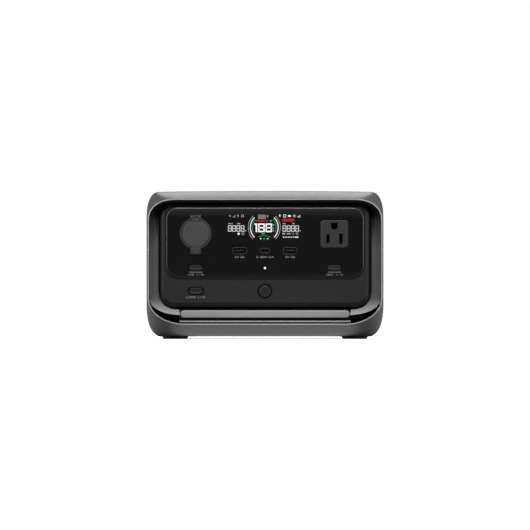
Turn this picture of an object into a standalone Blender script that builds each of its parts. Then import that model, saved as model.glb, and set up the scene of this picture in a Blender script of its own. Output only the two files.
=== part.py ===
"""Portable power station. Origin on the ground under the middle, +Z up, the front faces -Y."""

import math

import bmesh
import bpy

MM = 0.001
GAP = 0.3 * MM
QUARTER = math.pi / 2
WELD = 0.001 * MM

# How a plate or a turned piece lies: its own +Z points to the front, to the rear, to +X or to -X.
TO_FRONT = (QUARTER, 0.0, 0.0)
TO_REAR = (-QUARTER, 0.0, 0.0)
TO_RIGHT = (QUARTER, 0.0, QUARTER)
FLAT = (0.0, 0.0, 0.0)

# Cross-sections of the body, in mm. Each corner: reach across, reach up, power, height of its centre.
FULL = {"half": 117.1, "top": 146.4, "bottom": 2.4, "crown": 1.4,
        "upper": (20.0, 29.0, 2.8, 118.5), "lower": (22.0, 37.0, 2.8, 38.0)}
LIP = {"half": 115.7, "top": 138.5, "bottom": 14.2, "crown": 0.0,
       "upper": (28.0, 22.0, 2.3, 116.5), "lower": (36.0, 26.0, 2.0, 40.2)}
REAR = {"half": 114.6, "top": 141.0, "bottom": 9.0, "crown": 0.4,
        "upper": (28.0, 26.0, 2.4, 115.4), "lower": (30.0, 30.0, 2.2, 39.0)}
BEZEL_OUTER = {"half": 114.0, "top": 136.9, "bottom": 24.0, "crown": 0.0,
               "upper": (27.0, 21.0, 2.3, 115.9), "lower": (30.0, 16.0, 2.0, 40.0)}
BEZEL_INNER = {"half": 104.9, "top": 132.6, "bottom": 29.2, "crown": 0.0,
               "upper": (14.0, 14.0, 2.2, 118.6), "lower": (20.0, 20.8, 2.4, 50.0)}
CORNER_STEPS = 7
CROWN_SPOTS = (0.85, 0.55, 0.25)

# Shell
FRONT_Y = -115.0 * MM
FRONT_TAPER = 31.0 * MM
REAR_Y = 75.0 * MM
REAR_TAPER = 24.0 * MM
TAPER_STEPS = (0.05, 0.22, 0.5, 0.75, 1.0)
LIP_ROUND = 0.6
LIP_WALL = 1.2
WALL = 2.6
REAR_WALL = 4.0
SEAM_Z = 88.6 * MM
CUT_REACH = 300.0 * MM

# Feet
FOOT = (25.6 * MM, 14.0 * MM, 3.1 * MM)
FOOT_X = 89.0 * MM
FOOT_YS = (-66.0 * MM, 44.0 * MM)
FOOT_POCKET_TOP = 3.4 * MM
FOOT_DRAFT = 2.2 * MM

# Front panel: insets of its rounded edge against depth, in mm
PANEL_HALF = 103.2
PANEL_Z = (31.9, 131.0)
PANEL_RADII = (12.0, 13.0)
PANEL_EDGE = ((0.0, -103.6), (0.0, -107.6), (0.5, -109.6), (1.8, -110.6), (4.4, -111.0))
PANEL_BACK_Y = -108.3 * MM
PANEL_RIM = 3.0

# Gloss fascia
FASCIA_HALF = 98.1
FASCIA_Z = (59.2, 130.4)
FASCIA_RADII = (12.0, 13.4)
FASCIA_EDGE = ((0.0, -110.4), (0.0, -111.1), (0.4, -111.6), (1.6, -111.8))
RECESS_FLOOR_Y = -110.1 * MM

# Bezel: depth of each ring, and how much deeper its inner edge runs along the top
BEZEL_FRONT_Y = -113.6
BEZEL_STEP_Y = -111.2
BEZEL_INNER_Y = -106.6
BEZEL_BACK_Y = -96.0
BEZEL_FLANGE_INSET = 1.6
BEZEL_TOP_SINK = 8.5
BEZEL_SINK_Z = (112.0, 130.0)
NOTCH_HALF = 85.2 * MM
NOTCH_TOP = 34.0 * MM

# Light bar
LIGHT_HALF = 83.5
LIGHT_Z = (21.2, 28.6)
LIGHT_RADII = (3.6, 3.6)
LIGHT_EDGE = ((0.0, -106.6), (0.0, -111.9), (0.5, -112.7), (1.5, -113.0))
LIGHT_BOARD = (158.0 * MM, 1.6 * MM, 6.0 * MM)
LIGHT_BOARD_AT = (0.0, -105.2 * MM, 24.9 * MM)
TRAY_LENGTH = 169.0 * MM
TRAY_PROFILE = ((-113.6, 16.8), (-101.0, 16.8), (-101.0, 29.4), (-102.6, 29.4), (-102.6, 18.4), (-113.6, 18.4))

# Front controls: position in X and Z
POWER_AT = (0.0, 47.4)
LIGHT_AT = (-68.3, 47.5)
DC_AT = (-68.3, 70.4)
AC_AT = (68.4, 70.4)
PILL_BUTTON = (14.3, 5.6)
PILL_HOLE = (15.8, 6.6)
LIGHT_BUTTON = (13.5, 6.1)
LIGHT_HOLE = (16.2, 7.8)
POWER_BUTTON = (12.2, 12.2)
POWER_HOLE = (14.2, 14.2)
BUTTON_FACE_Y = -111.9
BUTTON_EDGE = 0.5
BUTTON_FLANGE_Y = (-107.9, -106.3)
BUTTON_FLANGE_MARGIN = 3.0
STEM_SIZE = 3.0
STEM_BACK_Y = -102.2
STRIP_SIZE = (12.9 * MM, 3.2 * MM, 0.8 * MM)
STRIP_HOLE = (13.5, 1.2)
STRIP_Z = 66.2
STRIP_Y = -110.1 * MM
LENS_RADIUS = 1.1 * MM
LENS_LENGTH = 5.0 * MM
LENS_HOLE = 1.4
LENS_AT = (0.0, 70.2)
LENS_Y = -109.3 * MM

# Ports
PORT_Z = 87.4
USB_A_XS = {"usb_a_port_left": -25.0, "usb_a_port_right": 25.0}
USB_A_SIZE = (14.0, 6.9)
USB_A_OPENING = (12.3, 5.1)
USB_C_SIZE = (10.1, 5.1)
USB_C_OPENING = (9.0, 3.2)
PORT_FACE_Y = -111.7 * MM
PORT_DEPTH = 11.9 * MM
PORT_BORE = 9.6 * MM
TONGUE_A = (10.4, 1.9)
TONGUE_C = (6.8, 0.8)
TONGUE_RISE = 0.6
TONGUE_SETBACK = 0.9 * MM
PORT_HOLE_MARGIN = 0.6

# AC outlet
OUTLET_AT = (68.4, 104.1)
OUTLET_SIDE = 26.8
OUTLET_RADIUS = 2.4
OUTLET_FACE_Y = -112.0 * MM
OUTLET_DEPTH = 22.0 * MM
OUTLET_BEVEL = 0.6 * MM
BLADE_RISE = -5.0
BLADES = ((-6.4, 3.3, 8.5), (6.4, 3.4, 10.2))
GROUND_RISE = 7.2
GROUND_RADIUS = 3.3
GROUND_FLAT = 3.0
CONTACT_DEPTH = 13.0 * MM

# Car socket and its cover: radius against distance along its axis from the face of the fascia, in mm
SOCKET_AT = (-68.4, 104.2)
SOCKET_Y = -111.8 * MM
SOCKET_RIM = ((10.6, -0.6), (14.1, -0.6), (14.1, 0.6), (14.4, 0.8), (15.4, 0.8), (15.6, 0.5), (15.6, -1.4),
              (12.5, -1.4), (12.5, -42.0), (0.0, -42.0), (0.0, -40.0), (10.6, -40.0))
FASCIA_SOCKET_RADIUS = 15.9
PANEL_SOCKET_RADIUS = 12.9
COVER_PROFILE = ((0.0, 1.9), (12.6, 1.9), (13.4, 1.6), (13.7, 1.0), (13.7, -0.3), (9.4, -0.3), (9.4, -2.4),
                 (0.0, -2.4))
HINGE_RISE = 17.0 * MM
HINGE_PROUD = 1.9 * MM
KNUCKLE_RADIUS = 1.4 * MM
KNUCKLE_LENGTH = 7.0 * MM
PIN_HOLE_RADIUS = 0.85 * MM
PIN_RADIUS = 0.55 * MM
LUG_SIZE = (1.6 * MM, 2.9 * MM, 5.0 * MM)
LUG_X = 4.6 * MM
LUG_SHIFT = (0.15 * MM, -0.9 * MM)
NECK_SHIFT = 0.05 * MM
PIN_LENGTH = 10.2 * MM
COVER_NECK = (7.0 * MM, 1.4 * MM, 4.6 * MM)
PULL_TAB = (10.4 * MM, 1.1 * MM, 8.2 * MM)
PULL_TAB_DROP = 16.3 * MM
PULL_TAB_PROUD = 1.7 * MM

# Boards behind the panel
FRONT_BOARD_Y = -98.2 * MM
BOARD_THICKNESS = 1.6 * MM
FRONT_BOARD_HALF = 94.0 * MM
FRONT_BOARD_HEIGHT = 86.0 * MM
FRONT_BOARD_Z = 81.0 * MM
SWITCH_SIZE = (6.2 * MM, 2.0 * MM, 6.2 * MM)
SWITCH_Y = -99.7 * MM
DISPLAY_SIZE = (78.0 * MM, 4.0 * MM, 31.0 * MM)
DISPLAY_AT = (-0.5 * MM, -107.8 * MM, 110.4 * MM)

# Rear panel
REAR_PANEL_Y = 70.6 * MM
REAR_PANEL_THICKNESS = 2.4 * MM
FAN_X = 58.0
FAN_Z = 92.0
SLOT_COUNT = 8
SLOT_PITCH = 5.8
SLOT_SIZE = (3.0, 40.0)
SLOT_ROUND = 1.1
REAR_SCREWS = ((-102.0, 88.0), (102.0, 88.0), (-98.0, 34.0), (98.0, 34.0))
REAR_SCREW_HOLE = 1.9
REAR_SCREW_PROFILE = ((0.0, 1.8), (2.2, 1.7), (3.0, 1.1), (3.2, 0.0), (1.6, 0.0), (1.6, -9.0), (0.0, -9.0))
REAR_SCREW_Y = 72.1 * MM
AC_INLET_AT = (-17.0, 42.0)
AC_INLET_SIZE = (27.6, 20.0)
AC_INLET_CUP = (24.0, 16.4)
DC_INLET_AT = (19.0, 42.0)
DC_INLET_RADIUS = 8.0
DC_INLET_CUP = 5.4
INLET_FACE_Y = 72.1 * MM
INLET_DEPTH = 22.0 * MM
INLET_CUP_DEPTH = 16.0 * MM
INLET_PINS = ((-7.0, 0.0), (0.0, 3.0), (7.0, 0.0))
INLET_PIN_SIZE = (2.0 * MM, 4.0 * MM)

# Input cover
FLAP_SIZE = (76.0, 42.0)
FLAP_THICKNESS = 2.2 * MM
FLAP_Y = 74.2 * MM
FLAP_Z = 41.8 * MM
FLAP_RADIUS = 4.0
FLAP_HINGE = (76.0 * MM, 63.4 * MM)
FLAP_BARREL = (2.0 * MM, 56.0 * MM)
FLAP_PIN = (0.9 * MM, 63.0 * MM)
FLAP_PIN_HOLE = 1.2 * MM
FLAP_LUG = (3.4 * MM, 7.6 * MM, 6.0 * MM)
FLAP_LUG_X = 30.2 * MM
FLAP_LUG_Y = 75.2 * MM
LEAF_CORNER = (10.6 * MM, 8.0 * MM, 9.0 * MM)
LEAF_CORNER_X = 33.4 * MM

# Handle: a flat bent bar, from the bracket out through the rear panel and across
HANDLE_Z = 118.0
HANDLE_HALF = 94.0
HANDLE_SECTION = (12.0, 26.0)
HANDLE_ROUND = 4.5
HANDLE_PATH_Y = (60.0, 86.6, 106.6)
HANDLE_BEND_STEPS = 7
GRIP_SECTION = (17.0, 31.0)
GRIP_ROUND = 7.0
GRIP_LENGTH = 118.0 * MM
GRIP_EDGE = 1.6 * MM
BRACKET = (206.0 * MM, 4.0 * MM, 14.0 * MM)
BRACKET_Y = 57.6 * MM
BRACKET_Z = 124.6 * MM
HANDLE_SCREW_PROFILE = ((0.0, 3.0), (3.6, 3.0), (4.2, 2.4), (4.2, 0.0), (2.4, 0.0), (2.4, -18.0), (0.0, -18.0))
HANDLE_SCREW_Y = 55.3 * MM
HANDLE_SCREW_HOLE = 2.8 * MM
HANDLE_BORE_LENGTH = 32.0 * MM

# Fans
FAN_SIDE = 50.0
FAN_THICKNESS = 15.0 * MM
FAN_Y = 61.6 * MM
FAN_BORE = 23.0
HUB_RADIUS = 10.0 * MM
HUB_LENGTH = 9.0 * MM
BLADE_COUNT = 7
BLADE_REACH = (8.6 * MM, 21.8 * MM)
BLADE_CHORD = (6.4 * MM, 12.0 * MM)
BLADE_THICKNESS = 1.2 * MM
BLADE_PITCH = math.radians(38.0)
AXLE_RADIUS = 1.4 * MM
AXLE_HOLE = 1.7 * MM
AXLE_LENGTH = 7.0 * MM
AXLE_SHIFT = 4.0 * MM
BEARING_REACH = 20.0 * MM
STRUT = (50.0 * MM, 1.8 * MM, 4.0 * MM)
STRUT_Y = 68.1 * MM
BOSS_RADIUS = 7.0 * MM

# Battery and power boards
TRAY_SIZE = (204.0 * MM, 124.0 * MM)
TRAY_FLOOR = 2.0 * MM
TRAY_HEIGHT = 26.0 * MM
TRAY_BASE_Z = 6.2 * MM
TRAY_Y = -24.0 * MM
CELL_SIZE = (48.0 * MM, 116.0 * MM, 54.0 * MM)
CELL_XS = (-72.9, -24.3, 24.3, 72.9)
CELL_BASE_Z = 8.6 * MM
TERMINAL = (12.0 * MM, 8.0 * MM, 2.0 * MM)
TERMINAL_Y = 42.0 * MM
BATTERY_BOARD = (180.0 * MM, 70.0 * MM, 1.6 * MM)
BATTERY_BOARD_Z = 67.6 * MM
INVERTER_BOARD = (196.0 * MM, 118.0 * MM, 1.6 * MM)
INVERTER_AT = (0.0, -14.0 * MM, 74.4 * MM)
CORE_OUTER = (44.0, 38.0)
CORE_WINDOW = (9.0, 25.0)
CORE_WINDOW_X = 11.5
CORE_DEPTH = 14.0 * MM
CORE_AT = (20.0 * MM, -20.0 * MM, 94.8 * MM)
COIL_OUTER = (31.0, 32.0)
COIL_HOLE = (14.6, 14.6)
COIL_HEIGHT = 24.0 * MM
SINK_SIZE = (36.0, 40.0)
SINK_LENGTH = 84.0 * MM
SINK_BASE = 4.0
SINK_FINS = 6
SINK_FIN = 1.8
SINK_XS = {"heat_sink_left": -74.0, "heat_sink_right": 74.0}
SINK_Y = -14.0 * MM
GASKET = (1.4 * MM, 136.0 * MM, 7.0 * MM)
GASKET_X = 113.2 * MM
GASKET_Y = -18.0 * MM

# Finishes: colour, roughness, metallic
SHELL = ((0.115, 0.118, 0.124), 0.52, 0.0)
BEZEL = ((0.060, 0.061, 0.063), 0.45, 0.0)
PANEL = ((0.028, 0.028, 0.029), 0.60, 0.0)
GLOSS = ((0.008, 0.008, 0.009), 0.08, 0.0)
BUTTON = ((0.050, 0.050, 0.052), 0.45, 0.0)
RUBBER = ((0.030, 0.030, 0.031), 0.75, 0.0)
DIFFUSER = ((0.420, 0.420, 0.420), 0.40, 0.0)
LENS = ((0.900, 0.900, 0.900), 0.25, 0.0)
STEEL = ((0.560, 0.560, 0.570), 0.30, 1.0)
ALUMINIUM = ((0.600, 0.610, 0.620), 0.40, 1.0)
COPPER = ((0.720, 0.330, 0.140), 0.35, 1.0)
FERRITE = ((0.045, 0.043, 0.042), 0.70, 0.0)
BOARD = ((0.012, 0.090, 0.045), 0.45, 0.0)
BLACK = ((0.018, 0.018, 0.019), 0.55, 0.0)
CELL = ((0.030, 0.110, 0.270), 0.40, 0.0)
SCREEN = ((0.020, 0.022, 0.025), 0.20, 0.0)

PARTS = bpy.data.collections.new("power_station")
CUTTERS = bpy.data.collections.new("cutters")


def start_scene():
    for old in list(bpy.data.objects):
        bpy.data.objects.remove(old, do_unlink=True)
    bpy.context.scene.collection.children.link(PARTS)
    bpy.context.scene.collection.children.link(CUTTERS)


def new_material(name, finish):
    colour, roughness, metallic = finish
    material = bpy.data.materials.new(name)
    material.use_nodes = True
    shader = material.node_tree.nodes["Principled BSDF"]
    shader.inputs["Base Color"].default_value = (*colour, 1.0)
    shader.inputs["Roughness"].default_value = roughness
    shader.inputs["Metallic"].default_value = metallic
    return material


def place(obj, location, rotation, parent):
    obj.location = location
    obj.rotation_euler = rotation
    obj.parent = parent


def add_part(name, mesh, finish, location=(0.0, 0.0, 0.0), rotation=FLAT, parent=None):
    mesh.materials.clear()
    mesh.materials.append(new_material(name, finish))
    mesh.shade_smooth()
    mesh.set_sharp_from_angle(angle=math.radians(32.0))
    obj = bpy.data.objects.new(name, mesh)
    PARTS.objects.link(obj)
    place(obj, location, rotation, parent)
    return obj


def add_cutter(name, mesh, location=(0.0, 0.0, 0.0), rotation=FLAT, parent=None):
    obj = bpy.data.objects.new(name + "_cutter", mesh)
    CUTTERS.objects.link(obj)
    obj.hide_render = True
    obj.display_type = "WIRE"
    place(obj, location, rotation, parent)
    return obj


def combine(obj, other, operation):
    modifier = obj.modifiers.new(other.name, "BOOLEAN")
    modifier.object = other
    modifier.operation = operation
    modifier.solver = "EXACT"


def cut(obj, cutter):
    combine(obj, cutter, "DIFFERENCE")


def join(obj, other):
    combine(obj, other, "UNION")


def soften(obj, width, segments=2):
    modifier = obj.modifiers.new("edges", "BEVEL")
    modifier.width = width
    modifier.segments = segments
    modifier.limit_method = "ANGLE"
    modifier.angle_limit = math.radians(40.0)


def finished_mesh(name, shape):
    mesh = bpy.data.meshes.new(name)
    bmesh.ops.recalc_face_normals(shape, faces=shape.faces)
    shape.to_mesh(mesh)
    shape.free()
    return mesh


def box_mesh(name, size):
    shape = bmesh.new()
    bmesh.ops.create_cube(shape, size=1.0)
    bmesh.ops.scale(shape, vec=size, verts=shape.verts)
    return finished_mesh(name, shape)


def cylinder_mesh(name, radius, length, steps=20):
    shape = bmesh.new()
    bmesh.ops.create_cone(shape, cap_ends=True, segments=steps, radius1=radius, radius2=radius, depth=length)
    return finished_mesh(name, shape)


def turned_mesh(name, profile, steps):
    """A profile of radius and height in mm, turned about Z with a Screw modifier."""
    mesh = bpy.data.meshes.new(name)
    points = [(radius * MM, 0.0, height * MM) for radius, height in profile]
    edges = [(i, i + 1) for i in range(len(points) - 1)]
    if profile[0][0] > 0.0:
        edges.append((len(points) - 1, 0))
    mesh.from_pydata(points, edges, [])
    guide = bpy.data.objects.new(name, mesh)
    bpy.context.scene.collection.objects.link(guide)
    screw = guide.modifiers.new("turn", "SCREW")
    screw.axis = "Z"
    screw.steps = steps
    screw.render_steps = steps
    screw.use_merge_vertices = True
    screw.merge_threshold = WELD
    return realised_mesh(name, guide)


def realised_mesh(name, guide):
    """The evaluated mesh of a guide object, welded, with the guide removed."""
    bpy.context.view_layer.update()
    graph = bpy.context.evaluated_depsgraph_get()
    mesh = bpy.data.meshes.new_from_object(guide.evaluated_get(graph))
    bpy.data.objects.remove(guide)
    shape = bmesh.new()
    shape.from_mesh(mesh)
    bmesh.ops.remove_doubles(shape, verts=shape.verts, dist=WELD)
    return finished_mesh(name, shape)


def plate_mesh(name, outlines, depth):
    """A flat plate from closed outlines in mm: one outline inside another makes a hole."""
    curve = bpy.data.curves.new(name, "CURVE")
    curve.dimensions = "2D"
    curve.fill_mode = "BOTH"
    curve.extrude = depth / 2
    for outline in outlines:
        spline = curve.splines.new("POLY")
        spline.points.add(len(outline) - 1)
        for point, (across, up) in zip(spline.points, outline):
            point.co = (across * MM, up * MM, 0.0, 1.0)
        spline.use_cyclic_u = True
    guide = bpy.data.objects.new(name, curve)
    bpy.context.scene.collection.objects.link(guide)
    return realised_mesh(name, guide)


def loft_mesh(name, rings, capped=True):
    """A skin over rings of equal count: capped at both ends, or closed from the last ring to the first."""
    shape = bmesh.new()
    loops = [[shape.verts.new(point) for point in ring] for ring in rings]
    pairs = list(zip(loops, loops[1:]))
    if not capped:
        pairs.append((loops[-1], loops[0]))
    count = len(loops[0])
    for near, far in pairs:
        for i in range(count):
            j = (i + 1) % count
            shape.faces.new((near[i], near[j], far[j], far[i]))
    if capped:
        shape.faces.new(loops[0])
        shape.faces.new(reversed(loops[-1]))
    return finished_mesh(name, shape)


def circle(radius, at=(0.0, 0.0), steps=24):
    turns = [2.0 * math.pi * i / steps for i in range(steps)]
    return [(at[0] + radius * math.cos(a), at[1] + radius * math.sin(a)) for a in turns]


def rounded(width, height, radius, at=(0.0, 0.0), steps=5, top_radius=None):
    """A rectangle with round corners, anticlockwise from the lower right."""
    top = radius if top_radius is None else top_radius
    corners = ((1, -1, radius), (1, 1, top), (-1, 1, top), (-1, -1, radius))
    points = []
    for turn, (side, rise, bend) in enumerate(corners):
        centre = (at[0] + side * (width / 2 - bend), at[1] + rise * (height / 2 - bend))
        for step in range(steps + 1):
            angle = QUARTER * (turn - 1 + step / steps)
            points.append((centre[0] + bend * math.cos(angle), centre[1] + bend * math.sin(angle)))
    return points


def pill(size, at=(0.0, 0.0), steps=4, margin=0.0):
    width, height = size[0] + margin, size[1] + margin
    return rounded(width, height, height / 2 - 0.01, at, steps)


def section_outline(section, inset=0.0):
    """The closed outline of a body section in mm, anticlockwise from the middle of the bottom."""
    half = section["half"] - inset
    low, high = section["bottom"] + inset, section["top"] - inset
    right = [(0.0, low), (half * 0.4, low)]
    for name, sign in (("lower", -1.0), ("upper", 1.0)):
        across, up, power, centre_z = section[name]
        across, up = across - inset, up - inset
        for step in range(CORNER_STEPS + 1):
            share = step / CORNER_STEPS
            angle = QUARTER * (share if sign > 0 else 1.0 - share)
            x = half - across + across * math.cos(angle) ** (2.0 / power)
            z = centre_z + sign * up * math.sin(angle) ** (2.0 / power)
            crest = high - section["crown"] * (x / section["half"]) ** 4
            right.append((x, min(max(z, low), crest)))
    for spot in CROWN_SPOTS:
        x = spot * (half - section["upper"][0])
        right.append((x, high - section["crown"] * (x / section["half"]) ** 4))
    right.append((0.0, high))
    return right + [(-x, z) for x, z in reversed(right[1:-1])]


def at_depth(outline, y):
    return [(x * MM, y, z * MM) for x, z in outline]


def blend(first, second, share):
    return [(a + (c - a) * share, b + (d - b) * share) for (a, b), (c, d) in zip(first, second)]


def body_rings(inset, lip_inset, rear_inset):
    """Rings from the front lip over the tapered front, along the body, to the tapered rear."""
    lip, full = section_outline(LIP, inset), section_outline(FULL, inset)
    rear = section_outline(REAR, rear_inset)
    rings = [at_depth(section_outline(LIP, lip_inset), FRONT_Y)]
    for share in TAPER_STEPS:
        rings.append(at_depth(blend(lip, full, math.sin(QUARTER * share)), FRONT_Y + share * FRONT_TAPER))
    for share in reversed(TAPER_STEPS):
        rings.append(at_depth(blend(rear, full, math.sin(QUARTER * share)), REAR_Y - share * REAR_TAPER))
    return rings


def cavity_mesh():
    """The inside of the shell, running out through its front and rear openings."""
    mouth = section_outline(LIP, LIP_WALL)
    rings = [at_depth(mouth, FRONT_Y - 2.0 * MM), at_depth(mouth, FRONT_Y + 2.6 * MM)]
    rings += body_rings(WALL, LIP_WALL, REAR_WALL)[3:-1]
    back = section_outline(REAR, REAR_WALL)
    rings += [at_depth(back, REAR_Y - 7.0 * MM), at_depth(back, REAR_Y + 2.0 * MM)]
    return loft_mesh("cavity", rings)


def make_shells():
    cavity = add_cutter("cavity", cavity_mesh())
    outer = body_rings(0.0, LIP_ROUND, 0.0)
    keep_size = (CUT_REACH, CUT_REACH, CUT_REACH)
    for name, side in (("upper_shell", 1.0), ("lower_shell", -1.0)):
        shell = add_part(name, loft_mesh(name, outer), SHELL)
        cut(shell, cavity)
        middle = SEAM_Z + side * (CUT_REACH + GAP) / 2
        combine(shell, add_cutter(name + "_side", box_mesh(name, keep_size), (0.0, 0.0, middle)), "INTERSECT")
        if side < 0:
            make_feet(shell)
    for name, side in (("seam_gasket_left", -1.0), ("seam_gasket_right", 1.0)):
        add_part(name, box_mesh(name, GASKET), RUBBER, (side * GASKET_X, GASKET_Y, SEAM_Z))


def foot_mesh(name):
    """A foot whose sides slope in towards the ground."""
    rings = []
    for z, draft in ((0.0, FOOT_DRAFT), (FOOT[2] * 0.7, 0.0), (FOOT[2], 0.0)):
        outline = rounded((FOOT[0] - draft) / MM, (FOOT[1] - draft) / MM, 4.0, steps=4)
        rings.append([(x * MM, y * MM, z) for x, y in outline])
    return loft_mesh(name, rings)


def make_feet(shell):
    pocket_size = ((FOOT[0] + 2 * GAP) / MM, (FOOT[1] + 2 * GAP) / MM)
    for row, y in zip(("front", "rear"), FOOT_YS):
        for side, label in ((-1.0, "left"), (1.0, "right")):
            name = f"foot_{row}_{label}"
            add_part(name, foot_mesh(name), RUBBER, (side * FOOT_X, y, 0.0))
            outline = rounded(*pocket_size, 4.3, steps=4)
            pocket = plate_mesh(name, [outline], 2 * FOOT_POCKET_TOP)
            cut(shell, add_cutter(name, pocket, (side * FOOT_X, y, 0.0)))


def edge_rings(half, span, radii, edge):
    """Rings of a plate with a rounded front edge, from its back to its face."""
    rings = []
    for inset, y in edge:
        outline = rounded(2 * (half - inset), span[1] - span[0] - 2 * inset, radii[1] - inset,
                          (0.0, sum(span) / 2), 6, radii[0] - inset)
        rings.append(at_depth(outline, y * MM))
    return rings


def make_bezel():
    """The sloping frame between the lip and the front panel, open along the bottom for the light bar."""
    outer, inner = section_outline(BEZEL_OUTER), section_outline(BEZEL_INNER)
    flange = section_outline(BEZEL_OUTER, BEZEL_FLANGE_INSET)
    low, high = BEZEL_SINK_Z
    sunk = []
    for x, z in inner:
        share = min(max((z - low) / (high - low), 0.0), 1.0)
        sunk.append((x * MM, (BEZEL_INNER_Y + BEZEL_TOP_SINK * share ** 2) * MM, z * MM))
    rings = [at_depth(outer, BEZEL_FRONT_Y * MM), sunk, at_depth(inner, BEZEL_BACK_Y * MM)]
    rings += [at_depth(flange, BEZEL_BACK_Y * MM), at_depth(flange, BEZEL_STEP_Y * MM),
              at_depth(outer, BEZEL_STEP_Y * MM)]
    bezel = add_part("front_bezel", loft_mesh("front_bezel", rings, capped=False), BEZEL)
    notch_size = (2 * NOTCH_HALF, CUT_REACH, 2 * NOTCH_TOP)
    cut(bezel, add_cutter("notch", box_mesh("notch", notch_size), (0.0, BEZEL_FRONT_Y * MM, 0.0)))


def front_plate(name, outlines, y_front, depth):
    """A cutter of this depth behind y_front."""
    return add_cutter(name, plate_mesh(name, outlines, depth), (0.0, y_front + depth / 2, 0.0), TO_FRONT)


def shared_holes():
    """Holes that pass through both the fascia and the panel."""
    holes = [pill(PILL_HOLE, DC_AT), pill(PILL_HOLE, AC_AT), circle(LENS_HOLE, LENS_AT, 12)]
    holes += [rounded(*STRIP_HOLE, 0.3, (at[0], STRIP_Z), 1) for at in (DC_AT, AC_AT)]
    side = OUTLET_SIDE + PORT_HOLE_MARGIN
    holes.append(rounded(side, side, OUTLET_RADIUS, OUTLET_AT, 4))
    for x in USB_A_XS.values():
        holes.append(rounded(USB_A_SIZE[0] + PORT_HOLE_MARGIN, USB_A_SIZE[1] + PORT_HOLE_MARGIN, 1.2, (x, PORT_Z), 3))
    holes.append(pill(USB_C_SIZE, (0.0, PORT_Z), 4, PORT_HOLE_MARGIN))
    return holes


def make_panel_and_fascia():
    rings = edge_rings(PANEL_HALF, PANEL_Z, PANEL_RADII, PANEL_EDGE)
    panel = add_part("front_panel", loft_mesh("front_panel", rings), PANEL)
    rim = [(PANEL_RIM, y) for y in (-95.0, PANEL_BACK_Y / MM)]
    pocket = loft_mesh("panel_back", edge_rings(PANEL_HALF, PANEL_Z, PANEL_RADII, rim))
    cut(panel, add_cutter("panel_back", pocket))
    rings = edge_rings(FASCIA_HALF, FASCIA_Z, FASCIA_RADII, FASCIA_EDGE)
    fascia = add_part("fascia", loft_mesh("fascia", rings), GLOSS)
    margin = GAP / MM
    height = FASCIA_Z[1] - FASCIA_Z[0] + 10.0
    recess = rounded(2 * (FASCIA_HALF + margin), height, FASCIA_RADII[1] + margin,
                     (0.0, FASCIA_Z[0] - margin + height / 2), 6, FASCIA_RADII[0])
    front = -120.0 * MM
    cut(panel, front_plate("fascia_recess", [recess], front, RECESS_FLOOR_Y - front))
    holes = front_plate("shared_holes", shared_holes(), front, 18.0 * MM)
    cut(panel, holes)
    cut(fascia, holes)
    cut(fascia, front_plate("socket_hole", [circle(FASCIA_SOCKET_RADIUS, SOCKET_AT, 32)], front, 12.0 * MM))
    window = rounded((DISPLAY_SIZE[0] + 2 * GAP) / MM, (DISPLAY_SIZE[2] + 2 * GAP) / MM, 0.5,
                     (DISPLAY_AT[0] / MM, DISPLAY_AT[2] / MM), 1)
    own_holes = [circle(PANEL_SOCKET_RADIUS, SOCKET_AT, 24), pill(POWER_HOLE, POWER_AT, 5),
                 pill(LIGHT_HOLE, LIGHT_AT), window]
    cut(panel, front_plate("panel_holes", own_holes, front, 18.0 * MM))


def make_display():
    display = add_part("display_module", box_mesh("display_module", DISPLAY_SIZE), SCREEN, DISPLAY_AT)
    soften(display, 0.4 * MM, 1)


def make_button(name, size, at, face_y, finish):
    """A button with a proud face, a flange behind the panel and a stem that meets its switch."""
    width, height = size
    wide, tall = width + BUTTON_FLANGE_MARGIN, height + BUTTON_FLANGE_MARGIN
    near, far = BUTTON_FLANGE_Y
    layers = ((face_y, width - 2 * BUTTON_EDGE, height - 2 * BUTTON_EDGE), (face_y + BUTTON_EDGE, width, height),
              (near, width, height), (near, wide, tall), (far, wide, tall), (far, STEM_SIZE, STEM_SIZE),
              (STEM_BACK_Y, STEM_SIZE, STEM_SIZE))
    rings = []
    for y, across, up in layers:
        outline = pill((across, up), steps=4)
        rings.append([(x * MM, (y - face_y) * MM, z * MM) for x, z in outline])
    return add_part(name, loft_mesh(name, rings), finish, (at[0] * MM, face_y * MM, at[1] * MM))


def make_controls():
    make_button("power_button", POWER_BUTTON, POWER_AT, BUTTON_FACE_Y, BUTTON)
    make_button("dc_button", PILL_BUTTON, DC_AT, BUTTON_FACE_Y - 0.4, BUTTON)
    make_button("ac_button", PILL_BUTTON, AC_AT, BUTTON_FACE_Y - 0.4, BUTTON)
    make_button("light_button", LIGHT_BUTTON, LIGHT_AT, BUTTON_FACE_Y, BUTTON)
    for name, at in (("dc_light_strip", DC_AT), ("ac_light_strip", AC_AT)):
        add_part(name, box_mesh(name, STRIP_SIZE), LENS, (at[0] * MM, STRIP_Y, STRIP_Z * MM))
    lens = cylinder_mesh("status_light", LENS_RADIUS, LENS_LENGTH, 12)
    add_part("status_light", lens, LENS, (LENS_AT[0] * MM, LENS_Y, LENS_AT[1] * MM), TO_FRONT)


def tongue_outlines(opening, tongue):
    """The opening as a cut with the tongue left standing in it."""
    return [opening, rounded(*tongue, 0.2, (0.0, TONGUE_RISE if tongue is TONGUE_A else 0.0), 1)]


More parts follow.
